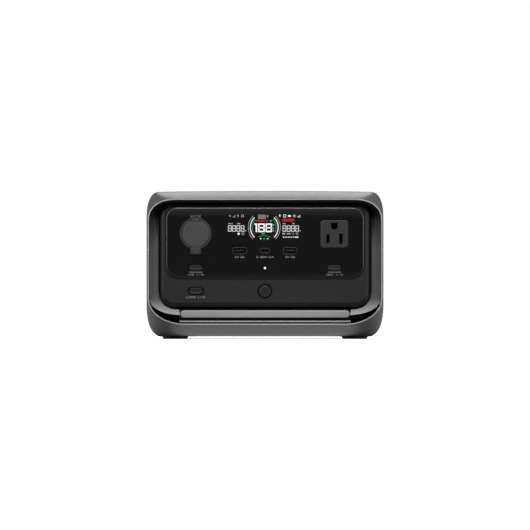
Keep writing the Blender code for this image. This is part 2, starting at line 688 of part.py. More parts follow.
def make_port(name, outer, opening, tongue, x):
    depth = PORT_DEPTH
    port = add_part(name, plate_mesh(name, [outer], depth), STEEL, (x * MM, PORT_FACE_Y + depth / 2, PORT_Z * MM),
                    TO_FRONT)
    reach = PORT_BORE - TONGUE_SETBACK
    back = plate_mesh(name, tongue_outlines(opening, tongue), reach)
    cut(port, add_cutter(name, back, (x * MM, PORT_FACE_Y + TONGUE_SETBACK + reach / 2, PORT_Z * MM), TO_FRONT))
    mouth = plate_mesh(name, [opening], 2 * TONGUE_SETBACK)
    cut(port, add_cutter(name + "_mouth", mouth, (x * MM, PORT_FACE_Y, PORT_Z * MM), TO_FRONT))


def make_ports():
    for name, x in USB_A_XS.items():
        make_port(name, rounded(*USB_A_SIZE, 1.0, steps=3), rounded(*USB_A_OPENING, 0.3, steps=1), TONGUE_A, x)
    make_port("usb_c_port", pill(USB_C_SIZE, steps=4), pill(USB_C_OPENING, steps=4), TONGUE_C, 0.0)


def ground_outline():
    """Round below and flat on top."""
    points = circle(GROUND_RADIUS, (0.0, GROUND_RISE), 16)
    return [(x, min(z, GROUND_RISE + GROUND_FLAT)) for x, z in points]


def make_outlet():
    body = plate_mesh("ac_outlet", [rounded(OUTLET_SIDE, OUTLET_SIDE, OUTLET_RADIUS, steps=4)], OUTLET_DEPTH)
    middle = (OUTLET_AT[0] * MM, OUTLET_FACE_Y + OUTLET_DEPTH / 2, OUTLET_AT[1] * MM)
    outlet = add_part("ac_outlet", body, BUTTON, middle, TO_FRONT)
    soften(outlet, OUTLET_BEVEL)
    slots = [rounded(width, height, 0.4, (x, BLADE_RISE), 2) for x, width, height in BLADES]
    holes = plate_mesh("blades", slots + [ground_outline()], 2 * CONTACT_DEPTH)
    cut(outlet, add_cutter("blades", holes, (middle[0], OUTLET_FACE_Y, middle[2]), TO_FRONT))


def make_car_socket():
    at = (SOCKET_AT[0] * MM, SOCKET_Y, SOCKET_AT[1] * MM)
    socket = add_part("car_socket", turned_mesh("car_socket", SOCKET_RIM, 28), BLACK, at, TO_FRONT)
    hinge = (at[0], at[1] - HINGE_PROUD, at[2] + HINGE_RISE)
    for side in (-1.0, 1.0):
        spot = (hinge[0] + side * LUG_X, hinge[1] + LUG_SHIFT[0], hinge[2] + LUG_SHIFT[1])
        join(socket, add_cutter("lug", box_mesh("lug", LUG_SIZE), spot))
    bore = cylinder_mesh("pin_bore", PIN_HOLE_RADIUS, 2 * PIN_LENGTH, 12)
    pin_bore = add_cutter("pin_bore", bore, hinge, TO_RIGHT)
    cut(socket, pin_bore)
    pin = cylinder_mesh("cover_hinge_pin", PIN_RADIUS, PIN_LENGTH, 12)
    add_part("cover_hinge_pin", pin, STEEL, hinge, TO_RIGHT)
    make_socket_cover(hinge, at, pin_bore)


def make_socket_cover(hinge, at, pin_bore):
    """The cover's own origin is on its hinge axis; the disc, neck and pull tab hang from the knuckle."""
    knuckle = cylinder_mesh("car_socket_cover", KNUCKLE_RADIUS, KNUCKLE_LENGTH, 16)
    cover = add_part("car_socket_cover", knuckle, RUBBER, hinge, TO_RIGHT)
    disc = add_cutter("disc", turned_mesh("disc", COVER_PROFILE, 28), at, TO_FRONT)
    neck_spot = (at[0], hinge[1] + NECK_SHIFT, hinge[2] - COVER_NECK[2] / 2)
    neck = add_cutter("neck", box_mesh("neck", COVER_NECK), neck_spot)
    tab_spot = (at[0], at[1] - PULL_TAB_PROUD, at[2] - PULL_TAB_DROP)
    tab = add_cutter("pull_tab", box_mesh("pull_tab", PULL_TAB), tab_spot)
    soften(tab, 0.4 * MM, 1)
    for piece in (neck, disc, tab):
        join(cover, piece)
    cut(cover, pin_bore)


def make_light_bar():
    rings = edge_rings(LIGHT_HALF, LIGHT_Z, LIGHT_RADII, LIGHT_EDGE)
    add_part("light_diffuser", loft_mesh("light_diffuser", rings), DIFFUSER)
    tray = plate_mesh("light_tray", [list(TRAY_PROFILE)], TRAY_LENGTH)
    add_part("light_tray", tray, BEZEL, (0.0, 0.0, 0.0), TO_RIGHT)
    add_part("light_board", box_mesh("light_board", LIGHT_BOARD), BOARD, LIGHT_BOARD_AT)


def make_front_board():
    size = (2 * FRONT_BOARD_HALF, BOARD_THICKNESS, FRONT_BOARD_HEIGHT)
    board = add_part("front_board", box_mesh("front_board", size), BOARD, (0.0, FRONT_BOARD_Y, FRONT_BOARD_Z))
    for x, z in (POWER_AT, DC_AT, AC_AT, LIGHT_AT):
        join(board, add_cutter("switch", box_mesh("switch", SWITCH_SIZE), (x * MM, SWITCH_Y, z * MM)))
    barrel = cylinder_mesh("barrel_hole", (PANEL_SOCKET_RADIUS + 0.4) * MM, OUTLET_DEPTH, 24)
    cut(board, add_cutter("barrel_hole", barrel, (SOCKET_AT[0] * MM, FRONT_BOARD_Y, SOCKET_AT[1] * MM), TO_FRONT))
    side = (OUTLET_SIDE + 1.0) * MM
    opening = box_mesh("outlet_hole", (side, OUTLET_DEPTH, side))
    cut(board, add_cutter("outlet_hole", opening, (OUTLET_AT[0] * MM, FRONT_BOARD_Y, OUTLET_AT[1] * MM)))


def rear_holes():
    first = -SLOT_PITCH * (SLOT_COUNT - 1) / 2
    holes = []
    for side in (-1.0, 1.0):
        for i in range(SLOT_COUNT):
            spot = (side * FAN_X + first + i * SLOT_PITCH, FAN_Z)
            holes.append(rounded(*SLOT_SIZE, SLOT_ROUND, spot, 1))
        across, up = HANDLE_SECTION
        holes.append(rounded(across + 0.6, up + 0.6, HANDLE_ROUND, (side * HANDLE_HALF, HANDLE_Z), 4))
    holes += [circle(REAR_SCREW_HOLE, spot, 12) for spot in REAR_SCREWS]
    holes.append(rounded(AC_INLET_SIZE[0] + 0.6, AC_INLET_SIZE[1] + 0.6, 2.2, AC_INLET_AT, 3))
    holes.append(circle(DC_INLET_RADIUS + 0.3, DC_INLET_AT, 24))
    return holes


def make_rear_panel():
    outline = section_outline(REAR, REAR_WALL + GAP / MM)
    half = REAR_PANEL_THICKNESS / 2
    rings = [at_depth(outline, REAR_PANEL_Y + half), at_depth(outline, REAR_PANEL_Y - half)]
    panel = add_part("rear_panel", loft_mesh("rear_panel", rings), SHELL)
    hinge = (0.0, *FLAP_HINGE)
    for side in (-1.0, 1.0):
        join(panel, add_cutter("flap_lug", box_mesh("flap_lug", FLAP_LUG), (side * FLAP_LUG_X, FLAP_LUG_Y, hinge[2])))
    holes = plate_mesh("rear_holes", rear_holes(), 4 * REAR_PANEL_THICKNESS)
    cut(panel, add_cutter("rear_holes", holes, (0.0, REAR_PANEL_Y, 0.0), TO_FRONT))
    bore = add_cutter("flap_bore", cylinder_mesh("flap_bore", FLAP_PIN_HOLE, 2 * FLAP_PIN[1], 16), hinge, TO_RIGHT)
    cut(panel, bore)
    add_part("input_hinge_pin", cylinder_mesh("input_hinge_pin", *FLAP_PIN, 12), STEEL, hinge, TO_RIGHT)
    make_input_cover(hinge, bore)
    for number, (x, z) in enumerate(REAR_SCREWS, 1):
        name = f"rear_screw_{number}"
        add_part(name, turned_mesh(name, REAR_SCREW_PROFILE, 12), STEEL, (x * MM, REAR_SCREW_Y, z * MM), TO_REAR)


def make_input_cover(hinge, bore):
    """The cover's own origin is on its hinge axis."""
    barrel = cylinder_mesh("input_cover", *FLAP_BARREL, 20)
    cover = add_part("input_cover", barrel, SHELL, hinge, TO_RIGHT)
    leaf = plate_mesh("leaf", [rounded(*FLAP_SIZE, FLAP_RADIUS, steps=4)], FLAP_THICKNESS)
    leaf_piece = add_cutter("leaf", leaf, (0.0, FLAP_Y, FLAP_Z), TO_FRONT)
    for side in (-1.0, 1.0):
        spot = (side * LEAF_CORNER_X, FLAP_Y, hinge[2])
        cut(leaf_piece, add_cutter("leaf_corner", box_mesh("leaf_corner", LEAF_CORNER), spot))
    join(cover, leaf_piece)
    cut(cover, bore)


def make_inlets():
    body = rounded(*AC_INLET_SIZE, 2.0, steps=3)
    middle_y = INLET_FACE_Y - INLET_DEPTH / 2
    inlet = add_part("ac_inlet", plate_mesh("ac_inlet", [body], INLET_DEPTH), BLACK,
                     (AC_INLET_AT[0] * MM, middle_y, AC_INLET_AT[1] * MM), TO_FRONT)
    cup = [rounded(*AC_INLET_CUP, 2.6, steps=3)]
    cup += [rounded(INLET_PIN_SIZE[0] / MM, INLET_PIN_SIZE[1] / MM, 0.2, spot, 1) for spot in INLET_PINS]
    cup_mesh = plate_mesh("ac_cup", cup, 2 * INLET_CUP_DEPTH)
    cut(inlet, add_cutter("ac_cup", cup_mesh, (AC_INLET_AT[0] * MM, INLET_FACE_Y, AC_INLET_AT[1] * MM), TO_FRONT))
    round_body = plate_mesh("dc_inlet", [circle(DC_INLET_RADIUS)], INLET_DEPTH)
    spot = (DC_INLET_AT[0] * MM, middle_y, DC_INLET_AT[1] * MM)
    dc_inlet = add_part("dc_inlet", round_body, BLACK, spot, TO_FRONT)
    well = plate_mesh("dc_cup", [circle(DC_INLET_CUP), circle(1.2, steps=10)], 2 * INLET_CUP_DEPTH)
    cut(dc_inlet, add_cutter("dc_cup", well, (spot[0], INLET_FACE_Y, spot[2]), TO_FRONT))


def handle_path():
    """Each point of the bar's middle line in X and Y, with the direction across the bar there, in mm."""
    start, bend_start, far = HANDLE_PATH_Y
    radius = far - bend_start
    path = [(-HANDLE_HALF, start, -1.0, 0.0)]
    for step in range(HANDLE_BEND_STEPS + 1):
        angle = math.pi - QUARTER * step / HANDLE_BEND_STEPS
        out_x, out_y = math.cos(angle), math.sin(angle)
        path.append((-HANDLE_HALF + radius + radius * out_x, bend_start + radius * out_y, out_x, out_y))
    return path + [(-x, y, -out_x, out_y) for x, y, out_x, out_y in reversed(path)]


def handle_mesh():
    section = rounded(*HANDLE_SECTION, HANDLE_ROUND, (0.0, HANDLE_Z), 3)
    rings = []
    for x, y, out_x, out_y in handle_path():
        rings.append([((x + out_x * u) * MM, (y + out_y * u) * MM, z * MM) for u, z in section])
    return loft_mesh("carry_handle", rings)


def make_handle():
    handle = add_part("carry_handle", handle_mesh(), BLACK)
    bracket = add_part("handle_bracket", box_mesh("handle_bracket", BRACKET), STEEL, (0.0, BRACKET_Y, BRACKET_Z))
    for side, label in ((-1.0, "left"), (1.0, "right")):
        x = side * HANDLE_HALF * MM
        name = f"handle_screw_{label}"
        bore = add_cutter(name, cylinder_mesh(name, HANDLE_SCREW_HOLE, HANDLE_BORE_LENGTH, 16),
                          (x, HANDLE_PATH_Y[0] * MM, BRACKET_Z), TO_FRONT)
        cut(handle, bore)
        cut(bracket, bore)
        screw = turned_mesh(name, HANDLE_SCREW_PROFILE, 12)
        add_part(name, screw, STEEL, (x, HANDLE_SCREW_Y, BRACKET_Z), TO_FRONT)
    make_grip()


def make_grip():
    """A rubber sleeve round the middle of the handle."""
    across, up = HANDLE_SECTION
    sleeve = [rounded(*GRIP_SECTION, GRIP_ROUND, steps=4), rounded(across + 0.6, up + 0.6, HANDLE_ROUND, steps=3)]
    grip = plate_mesh("handle_grip", sleeve, GRIP_LENGTH)
    obj = add_part("handle_grip", grip, RUBBER, (0.0, HANDLE_PATH_Y[2] * MM, HANDLE_Z * MM), TO_RIGHT)
    soften(obj, GRIP_EDGE, 1)


def blades_mesh():
    """Seven pitched blades about Z, each running into the hub."""
    shape = bmesh.new()
    for index in range(BLADE_COUNT):
        turn = 2.0 * math.pi * index / BLADE_COUNT
        loops = []
        for reach, chord in zip(BLADE_REACH, BLADE_CHORD):
            loop = []
            for along, thick in ((-1, -1), (1, -1), (1, 1), (-1, 1)):
                u, v = along * chord / 2, thick * BLADE_THICKNESS / 2
                side = u * math.cos(BLADE_PITCH) - v * math.sin(BLADE_PITCH)
                up = u * math.sin(BLADE_PITCH) + v * math.cos(BLADE_PITCH)
                x = reach * math.cos(turn) - side * math.sin(turn)
                y = reach * math.sin(turn) + side * math.cos(turn)
                loop.append(shape.verts.new((x, y, up)))
            loops.append(loop)
        near, far = loops
        shape.faces.new(near[::-1])
        shape.faces.new(far)
        for i in range(4):
            j = (i + 1) % 4
            shape.faces.new((near[i], near[j], far[j], far[i]))
    return finished_mesh("blades", shape)


def make_fans():
    for label, side in (("left", -1.0), ("right", 1.0)):
        centre = (side * FAN_X * MM, FAN_Y, FAN_Z * MM)
        name = f"fan_housing_{label}"
        frame = plate_mesh(name, [rounded(FAN_SIDE, FAN_SIDE, 3.0, steps=2), circle(FAN_BORE, steps=32)],
                           FAN_THICKNESS)
        housing = add_part(name, frame, BLACK, centre, TO_FRONT)
        for turn in (0.0, QUARTER):
            strut = add_cutter("strut", box_mesh("strut", STRUT), (centre[0], STRUT_Y, centre[2]), (0.0, turn, 0.0))
            join(housing, strut)
        boss = add_cutter("boss", cylinder_mesh("boss", BOSS_RADIUS, STRUT[1], 20), (centre[0], STRUT_Y, centre[2]),
                          TO_FRONT)
        join(housing, boss)
        bore = cylinder_mesh("bearing", AXLE_HOLE, BEARING_REACH, 12)
        bearing = add_cutter("bearing", bore, (centre[0], STRUT_Y, centre[2]), TO_FRONT)
        cut(housing, bearing)
        name = f"fan_rotor_{label}"
        rotor = add_part(name, cylinder_mesh(name, HUB_RADIUS, HUB_LENGTH, 24), BLACK, centre, TO_FRONT)
        join(rotor, add_cutter("blades", blades_mesh(), centre, TO_FRONT))
        axle_spot = (centre[0], centre[1] + AXLE_SHIFT, centre[2])
        join(rotor, add_cutter("axle", cylinder_mesh("axle", AXLE_RADIUS, AXLE_LENGTH, 12), axle_spot, TO_FRONT))


def make_battery():
    outer = (TRAY_SIZE[0], TRAY_SIZE[1], TRAY_HEIGHT)
    tray = add_part("battery_tray", box_mesh("battery_tray", outer), BLACK,
                    (0.0, TRAY_Y, TRAY_BASE_Z + TRAY_HEIGHT / 2))
    inner = (TRAY_SIZE[0] - 4 * TRAY_FLOOR, TRAY_SIZE[1] - 3 * TRAY_FLOOR, TRAY_HEIGHT)
    well_spot = (0.0, TRAY_Y, TRAY_BASE_Z + TRAY_FLOOR + TRAY_HEIGHT / 2)
    well = add_cutter("tray_well", box_mesh("tray_well", inner), well_spot)
    soften(tray, 4.0 * MM, 3)
    cut(tray, well)
    for number, x in enumerate(CELL_XS, 1):
        name = f"battery_cell_{number}"
        centre = (x * MM, TRAY_Y, CELL_BASE_Z + CELL_SIZE[2] / 2)
        cell = add_part(name, box_mesh(name, CELL_SIZE), CELL, centre)
        soften(cell, 1.5 * MM)
        top = CELL_BASE_Z + CELL_SIZE[2]
        for side in (-1.0, 1.0):
            spot = (centre[0], TRAY_Y + side * TERMINAL_Y, top)
            join(cell, add_cutter("terminal", box_mesh("terminal", TERMINAL), spot))
    add_part("battery_board", box_mesh("battery_board", BATTERY_BOARD), BOARD, (0.0, TRAY_Y, BATTERY_BOARD_Z))


def sink_outline():
    """A base with upright fins, in mm."""
    width, height = SINK_SIZE
    points = [(-width / 2, 0.0), (width / 2, 0.0)]
    pitch = (width - SINK_FIN) / (SINK_FINS - 1)
    for i in reversed(range(SINK_FINS)):
        left = -width / 2 + i * pitch
        points += [(left + SINK_FIN, height), (left, height)]
        if i:
            points += [(left, SINK_BASE), (left - pitch + SINK_FIN, SINK_BASE)]
    return points


def make_power_stage():
    add_part("inverter_board", box_mesh("inverter_board", INVERTER_BOARD), BOARD, INVERTER_AT)
    floor = INVERTER_AT[2] + INVERTER_BOARD[2] / 2 + GAP
    for name, x in SINK_XS.items():
        add_part(name, plate_mesh(name, [sink_outline()], SINK_LENGTH), ALUMINIUM, (x * MM, SINK_Y, floor), TO_FRONT)
    core = [rounded(*CORE_OUTER, 1.0, steps=1)]
    for side in (-1.0, 1.0):
        core.append(rounded(*CORE_WINDOW, 0.3, (side * CORE_WINDOW_X, 0.0), 1))
    add_part("transformer_core", plate_mesh("transformer_core", core, CORE_DEPTH), FERRITE, CORE_AT, TO_FRONT)
    coil = plate_mesh("transformer_coil", [rounded(*COIL_OUTER, 5.0, steps=4), rounded(*COIL_HOLE, 0.5, steps=1)],
                      COIL_HEIGHT)
    add_part("transformer_coil", coil, COPPER, CORE_AT)


def main():
    start_scene()
    make_shells()
    make_bezel()
    make_panel_and_fascia()
    make_display()
    make_controls()
    make_ports()
    make_outlet()
    make_car_socket()
    make_light_bar()
    make_front_board()
    make_rear_panel()
    make_inlets()
    make_handle()
    make_fans()
    make_battery()
    make_power_stage()


main()
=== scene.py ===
import math
import random

import bmesh
import bpy
from mathutils import Matrix, Vector


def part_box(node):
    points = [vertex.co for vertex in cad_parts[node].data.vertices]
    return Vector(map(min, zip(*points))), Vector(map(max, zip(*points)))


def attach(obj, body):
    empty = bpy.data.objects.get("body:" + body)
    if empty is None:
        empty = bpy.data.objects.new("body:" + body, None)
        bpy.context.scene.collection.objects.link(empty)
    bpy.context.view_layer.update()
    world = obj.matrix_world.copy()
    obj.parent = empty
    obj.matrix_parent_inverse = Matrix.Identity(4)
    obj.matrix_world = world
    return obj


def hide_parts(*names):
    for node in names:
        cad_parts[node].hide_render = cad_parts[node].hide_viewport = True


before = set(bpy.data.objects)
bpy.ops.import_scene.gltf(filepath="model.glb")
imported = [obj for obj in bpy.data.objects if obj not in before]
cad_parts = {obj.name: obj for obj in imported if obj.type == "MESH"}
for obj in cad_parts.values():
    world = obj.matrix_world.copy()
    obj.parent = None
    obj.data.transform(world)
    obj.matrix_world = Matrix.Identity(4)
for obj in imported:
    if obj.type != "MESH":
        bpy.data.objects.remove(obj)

MM = 0.001
QUARTER = math.pi / 2
STATION = "station"
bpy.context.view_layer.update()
draw = random.Random(11)

# Body sections in mm: half width, top, bottom and crown, then each corner as its reach across,
# its reach up, the power of its curve and the height of its centre.
FULL = {"half": 117.1, "top": 146.4, "bottom": 2.4, "crown": 1.4,
        "upper": (20.0, 29.0, 2.8, 118.5), "lower": (22.0, 37.0, 2.8, 38.0)}
LIP = {"half": 115.7, "top": 138.5, "bottom": 14.2, "crown": 0.0,
       "upper": (28.0, 22.0, 2.3, 116.5), "lower": (36.0, 26.0, 2.0, 40.2)}
REAR = {"half": 114.6, "top": 141.0, "bottom": 9.0, "crown": 0.4,
        "upper": (28.0, 26.0, 2.4, 115.4), "lower": (30.0, 30.0, 2.2, 39.0)}
BEZEL_OUTER = {"half": 114.0, "top": 136.9, "bottom": 24.0, "crown": 0.0,
               "upper": (27.0, 21.0, 2.3, 115.9), "lower": (30.0, 16.0, 2.0, 40.0)}
BEZEL_INNER = {"half": 104.9, "top": 132.6, "bottom": 29.2, "crown": 0.0,
               "upper": (14.0, 14.0, 2.2, 118.6), "lower": (20.0, 20.8, 2.4, 50.0)}


def low(node):
    return Vector(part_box(node)[0])


def high(node):
    return Vector(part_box(node)[1])


def middle(node):
    return (low(node) + high(node)) / 2


def limits(node):
    """Lowest and highest corners in mm."""
    return low(node) / MM, high(node) / MM


FRONT_Y = low("upper_shell").y / MM
REAR_Y = high("upper_shell").y / MM
SEAM_Z = (low("upper_shell").z + high("lower_shell").z) / 2 / MM
FACE_Y = low("fascia").y


# Materials

def scaled(colour, by, most=1.0):
    return tuple(min(most, c * by) for c in colour)


class Finish:
    """One material, with the nodes that the finishes share."""

    def __init__(self, name, stretch=(1.0, 1.0, 1.0)):
        self.material = bpy.data.materials.new(name)
        self.material.use_nodes = True
        self.tree = self.material.node_tree
        self.shader = self.tree.nodes["Principled BSDF"]
        self.at = self.coords(stretch)

    def feed(self, target, value):
        """Set an input to a socket, a colour, a vector or a number."""
        if isinstance(value, bpy.types.NodeSocket):
            self.tree.links.new(value, target)
        else:
            target.default_value = (*value, 1.0) if target.type == "RGBA" else value

    def node(self, kind, inputs=None, **values):
        """A new node; its inputs are given by name, or by number where names repeat."""
        node = self.tree.nodes.new(kind)
        for key, value in values.items():
            setattr(node, key, value)
        for key, value in (inputs or {}).items():
            if not isinstance(key, int):
                key = [i for i, socket in enumerate(node.inputs) if socket.name == key and socket.enabled][0]
            self.feed(node.inputs[key], value)
        return node

    def coords(self, stretch=(1.0, 1.0, 1.0)):
        place = self.node("ShaderNodeTexCoord").outputs["Object"]
        return self.node("ShaderNodeMapping", {"Vector": place, "Scale": stretch}).outputs["Vector"]

    def noise(self, scale, detail=3.0, roughness=0.55, at=None):
        inputs = {"Vector": at or self.at, "Scale": scale, "Detail": detail, "Roughness": roughness}
        return self.node("ShaderNodeTexNoise", inputs).outputs["Fac"]

    def bands(self, direction, scale, distortion=0.0):
        inputs = {"Vector": self.at, "Scale": scale, "Distortion": distortion}
        return self.node("ShaderNodeTexWave", inputs, bands_direction=direction).outputs["Fac"]

    def spread(self, value, low_to, high_to, low_from=0.3, high_from=0.7):
        inputs = {"Value": value, "From Min": low_from, "From Max": high_from,
                  "To Min": low_to, "To Max": high_to}
        return self.node("ShaderNodeMapRange", inputs).outputs["Result"]

    def mix(self, share, first, second):
        node = self.node("ShaderNodeMix", {"Factor": share, "A": first, "B": second}, data_type="RGBA")
        return [s for s in node.outputs if s.enabled][0]

    def vary(self, value, colour, dark, pale):
        """The colour, from its darker to its paler shade as the value rises."""
        return self.mix(self.spread(value, 0.0, 1.0), scaled(colour, dark), scaled(colour, pale))

    def worn(self, tone, colour, gain):
        """The tone, with this many times the colour along sharp edges."""
        sharp = self.node("ShaderNodeNewGeometry").outputs["Pointiness"]
        return self.mix(self.spread(sharp, 0.0, 1.0, 0.515, 0.60), tone, scaled(colour, gain))

    def axes(self, vector):
        return self.node("ShaderNodeSeparateXYZ", {"Vector": vector}).outputs

    def product(self, first, second):
        return self.node("ShaderNodeMath", {0: first, 1: second}, operation="MULTIPLY").outputs["Value"]

    def bump(self, height, strength, distance):
        inputs = {"Height": height, "Strength": strength, "Distance": distance}
        self.feed(self.shader.inputs["Normal"], self.node("ShaderNodeBump", inputs).outputs["Normal"])

    def paint(self, tone, rough, others=None):
        for key, value in {"Base Color": tone, "Roughness": rough, **(others or {})}.items():
            self.feed(self.shader.inputs[key], value)
        return self.material


def plastic(name, colour, roughness, grain=0.25, grain_size=0.45, mottle=0.05, wear=0.10, shade=None):
    """Moulded plastic: fine spark-eroded grain, faint mottling, slightly polished edges."""
    finish = Finish(name)
    tone = finish.vary(finish.noise(22.0, 2.0), colour, 1.0 - mottle, 1.0 + mottle)
    fine = finish.noise(1.0 / (grain_size * MM), 2.0)
    tone = finish.mix(finish.spread(fine, 0.0, 0.16), tone, scaled(colour, 1.35))
    tone = finish.worn(tone, colour, 1.0 + 4.0 * wear)
    # an optional painted light and shade laid over the tone
    if shade:
        tone = shade(finish, tone)
    finish.bump(fine, grain, 0.05 * MM)
    return finish.paint(tone, finish.spread(finish.noise(160.0), roughness - 0.02, roughness + 0.02))


def bezel_painted_light(finish, tone):
    """Painted shade darkens the frame towards the top, under the brow, and a painted highlight makes it paler
    beside the light bar.
    """
    height = finish.axes(finish.at)["Z"]
    # painted shade under the brow, then a painted highlight beside the light bar
    tone = finish.mix(finish.spread(height, 0.0, 1.0, 88.0 * MM, 124.0 * MM), tone, (0.005, 0.005, 0.005))
    return finish.mix(finish.spread(height, 1.0, 0.0, 25.0 * MM, 40.0 * MM), tone, (0.56, 0.56, 0.565))


def gloss(name, colour, roughness, edge_highlight=None):
    """Polished plastic with faint dust and a slow ripple; its rolled edge and top band carry a painted
    highlight, paler where the edge faces sideways or up.
    """
    finish = Finish(name)
    dust = finish.spread(finish.noise(900.0, 4.0, 0.7), 0.0, 0.25, 0.62, 0.85)
    tone = finish.mix(dust, colour, scaled(colour, 3.0))
    if edge_highlight:
        # painted highlight: paler towards the top edge, and on rolled faces turned sideways or up but not down
        top_sheen = finish.spread(finish.axes(finish.at)["Z"], 0.0, 0.12, 120.0 * MM, 131.0 * MM)
        facing = finish.axes(finish.node("ShaderNodeNewGeometry").outputs["Normal"])
        edge = finish.product(finish.spread(facing["Y"], 0.0, 1.0, -0.985, -0.55),
                              finish.spread(facing["Z"], 0.15, 1.0, -0.40, -0.05))
        tone = finish.mix(edge, finish.mix(top_sheen, tone, edge_highlight), edge_highlight)
    finish.bump(finish.noise(45.0, 1.0), 0.02, 0.2 * MM)
    smear = finish.spread(finish.noise(30.0), roughness, roughness + 0.05)
    return finish.paint(tone, smear, {"Specular IOR Level": 0.45})


def rubber(name, colour, roughness=0.72, grain_size=0.7):
    """Soft moulding: velvet grain with a pale bloom on its edges."""
    finish = Finish(name)
    fine = finish.noise(1.0 / (grain_size * MM), 3.0, 0.65)
    finish.bump(fine, 0.35, 0.06 * MM)
    tone = finish.worn(finish.vary(fine, colour, 0.8, 1.25), colour, 1.7)
    return finish.paint(tone, finish.spread(fine, roughness - 0.08, roughness + 0.08), {"Sheen Weight": 0.15})


def metal(name, colour, roughness, stretch=(1.0, 1.0, 14.0)):
    """Drawn or brushed metal, its scratches along one direction."""
    finish = Finish(name, stretch)
    lines = finish.noise(420.0, 4.0, 0.6)
    cloud = finish.spread(finish.noise(60.0, at=finish.coords()), 0.0, 0.35)
    stained = finish.mix(cloud, finish.vary(lines, colour, 0.82, 1.08), scaled(colour, 0.7))
    finish.bump(lines, 0.12, 0.03 * MM)
    rough = finish.spread(lines, roughness - 0.08, roughness + 0.10)
    return finish.paint(finish.worn(stained, colour, 1.3), rough, {"Metallic": 1.0})


def circuit(name):
    """Solder mask over copper tracks."""
    finish = Finish(name)
    gap, line = (0.0, 0.0, 0.0), (1.0, 1.0, 1.0)
    inputs = {"Vector": finish.at, "Scale": 260.0, "Mortar Size": 0.035,
              "Color1": gap, "Color2": gap, "Mortar": line}
    tracks = finish.node("ShaderNodeTexBrick", inputs, offset=0.5, squash=1.0).outputs["Color"]
    cloud = finish.noise(90.0, 4.0)
    mask = finish.mix(finish.spread(cloud, 0.0, 1.0), (0.010, 0.070, 0.040), (0.016, 0.100, 0.055))
    finish.bump(tracks, 0.3, 0.05 * MM)
    return finish.paint(finish.mix(tracks, mask, (0.030, 0.190, 0.090)), finish.spread(cloud, 0.30, 0.42))


def winding(name):
    """Enamelled copper wire laid side by side."""
    finish = Finish(name)
    turns = finish.bands("Z", 290.0, 0.4)
    finish.bump(turns, 0.8, 0.4 * MM)
    tone = finish.mix(turns, (0.20, 0.06, 0.02), (0.80, 0.36, 0.15))
    return finish.paint(tone, finish.spread(finish.noise(500.0), 0.28, 0.42), {"Metallic": 1.0})


def film(name, colour):
    """Shrink film over a cell, faintly wrinkled."""
    finish = Finish(name, (1.0, 1.0, 0.35))
    wrinkle = finish.noise(130.0)
    finish.bump(wrinkle, 0.35, 0.3 * MM)
    tone = finish.worn(finish.vary(wrinkle, colour, 0.85, 1.2), colour, 1.8)
    return finish.paint(tone, finish.spread(wrinkle, 0.25, 0.40))


def frosted(name, colour):
    """Translucent diffuser with fine upright ribs inside."""
    finish = Finish(name)
    ribs, haze = finish.bands("X", 210.0), finish.noise(70.0)
    lines = finish.spread(ribs, 0.0, 0.10, 0.0, 1.0)
    tone = finish.mix(lines, finish.vary(haze, colour, 0.95, 1.05), scaled(colour, 0.8))
    finish.bump(ribs, 0.05, 0.05 * MM)
    inside = {"Subsurface Weight": 0.25, "Subsurface Scale": 1.5 * MM}
    return finish.paint(tone, finish.spread(haze, 0.38, 0.46), inside)


def lit(name, colour, strength):
    """A lit symbol, its cells a little uneven in brightness."""
    finish = Finish(name)
    cells = finish.noise(1500.0, 1.0)
    tone = finish.vary(cells, colour, 0.86, 1.0)
    glow = {"Emission Color": tone, "Emission Strength": strength}
    return finish.paint(finish.mix(0.5, tone, (0.0, 0.0, 0.0)), finish.spread(cells, 0.30, 0.40), glow)


def print_ink(name, colour):
    finish = Finish(name)
    screen = finish.noise(2600.0, 2.0)
    return finish.paint(finish.vary(screen, colour, 0.85, 1.1), finish.spread(screen, 0.5, 0.6))


SHELL = plastic("shell_grey", (0.095, 0.096, 0.098), 0.36, 0.22, 0.40, 0.03, 0.05)
# Pale plastic as a painted highlight along the shell's lip and the light tray's front edge.
LIP_HIGHLIGHT = plastic("lip_painted_highlight", (0.52, 0.52, 0.525), 0.34, 0.12, 0.40, 0.03, 0.0)
REAR_PLASTIC = plastic("rear_grey", (0.070, 0.071, 0.073), 0.50, 0.30, 0.45)
# The bezel's tone carries painted shade under the brow and a painted highlight beside the light bar.
BEZEL = plastic("bezel_grey", (0.105, 0.106, 0.108), 0.48, 0.2, 0.45, 0.05, 0.06, bezel_painted_light)
PANEL = plastic("panel_grey", (0.021, 0.021, 0.022), 0.55, 0.22, 0.40, 0.04, 0.05)
# The fascia's paler rolled edge and top band are a painted highlight.
GLOSS = gloss("fascia_gloss", (0.0088, 0.0088, 0.0090), 0.20, (0.28, 0.28, 0.285))
BUTTON = plastic("button_grey", (0.021, 0.021, 0.022), 0.46, 0.18, 0.35)
OUTLET = plastic("outlet_grey", (0.050, 0.050, 0.052), 0.50, 0.20, 0.35)
BLACK = plastic("black_plastic", (0.012, 0.012, 0.013), 0.50, 0.25, 0.50)
# Near-black as painted shade in openings, gaps and the faces behind the front plates.
HOLE_SHADE = plastic("painted_hole_shade", (0.002, 0.002, 0.002), 0.70, 0.25, 0.50)
COVER = rubber("cover_rubber", (0.078, 0.078, 0.080), 0.62, 0.35)
RUBBER = rubber("dark_rubber", (0.022, 0.022, 0.023))
FOOT_RUBBER = rubber("foot_rubber", (0.070, 0.070, 0.072))
DIFFUSER = frosted("diffuser_frost", (0.420, 0.422, 0.425))
STEEL = metal("steel", (0.52, 0.52, 0.53), 0.32)
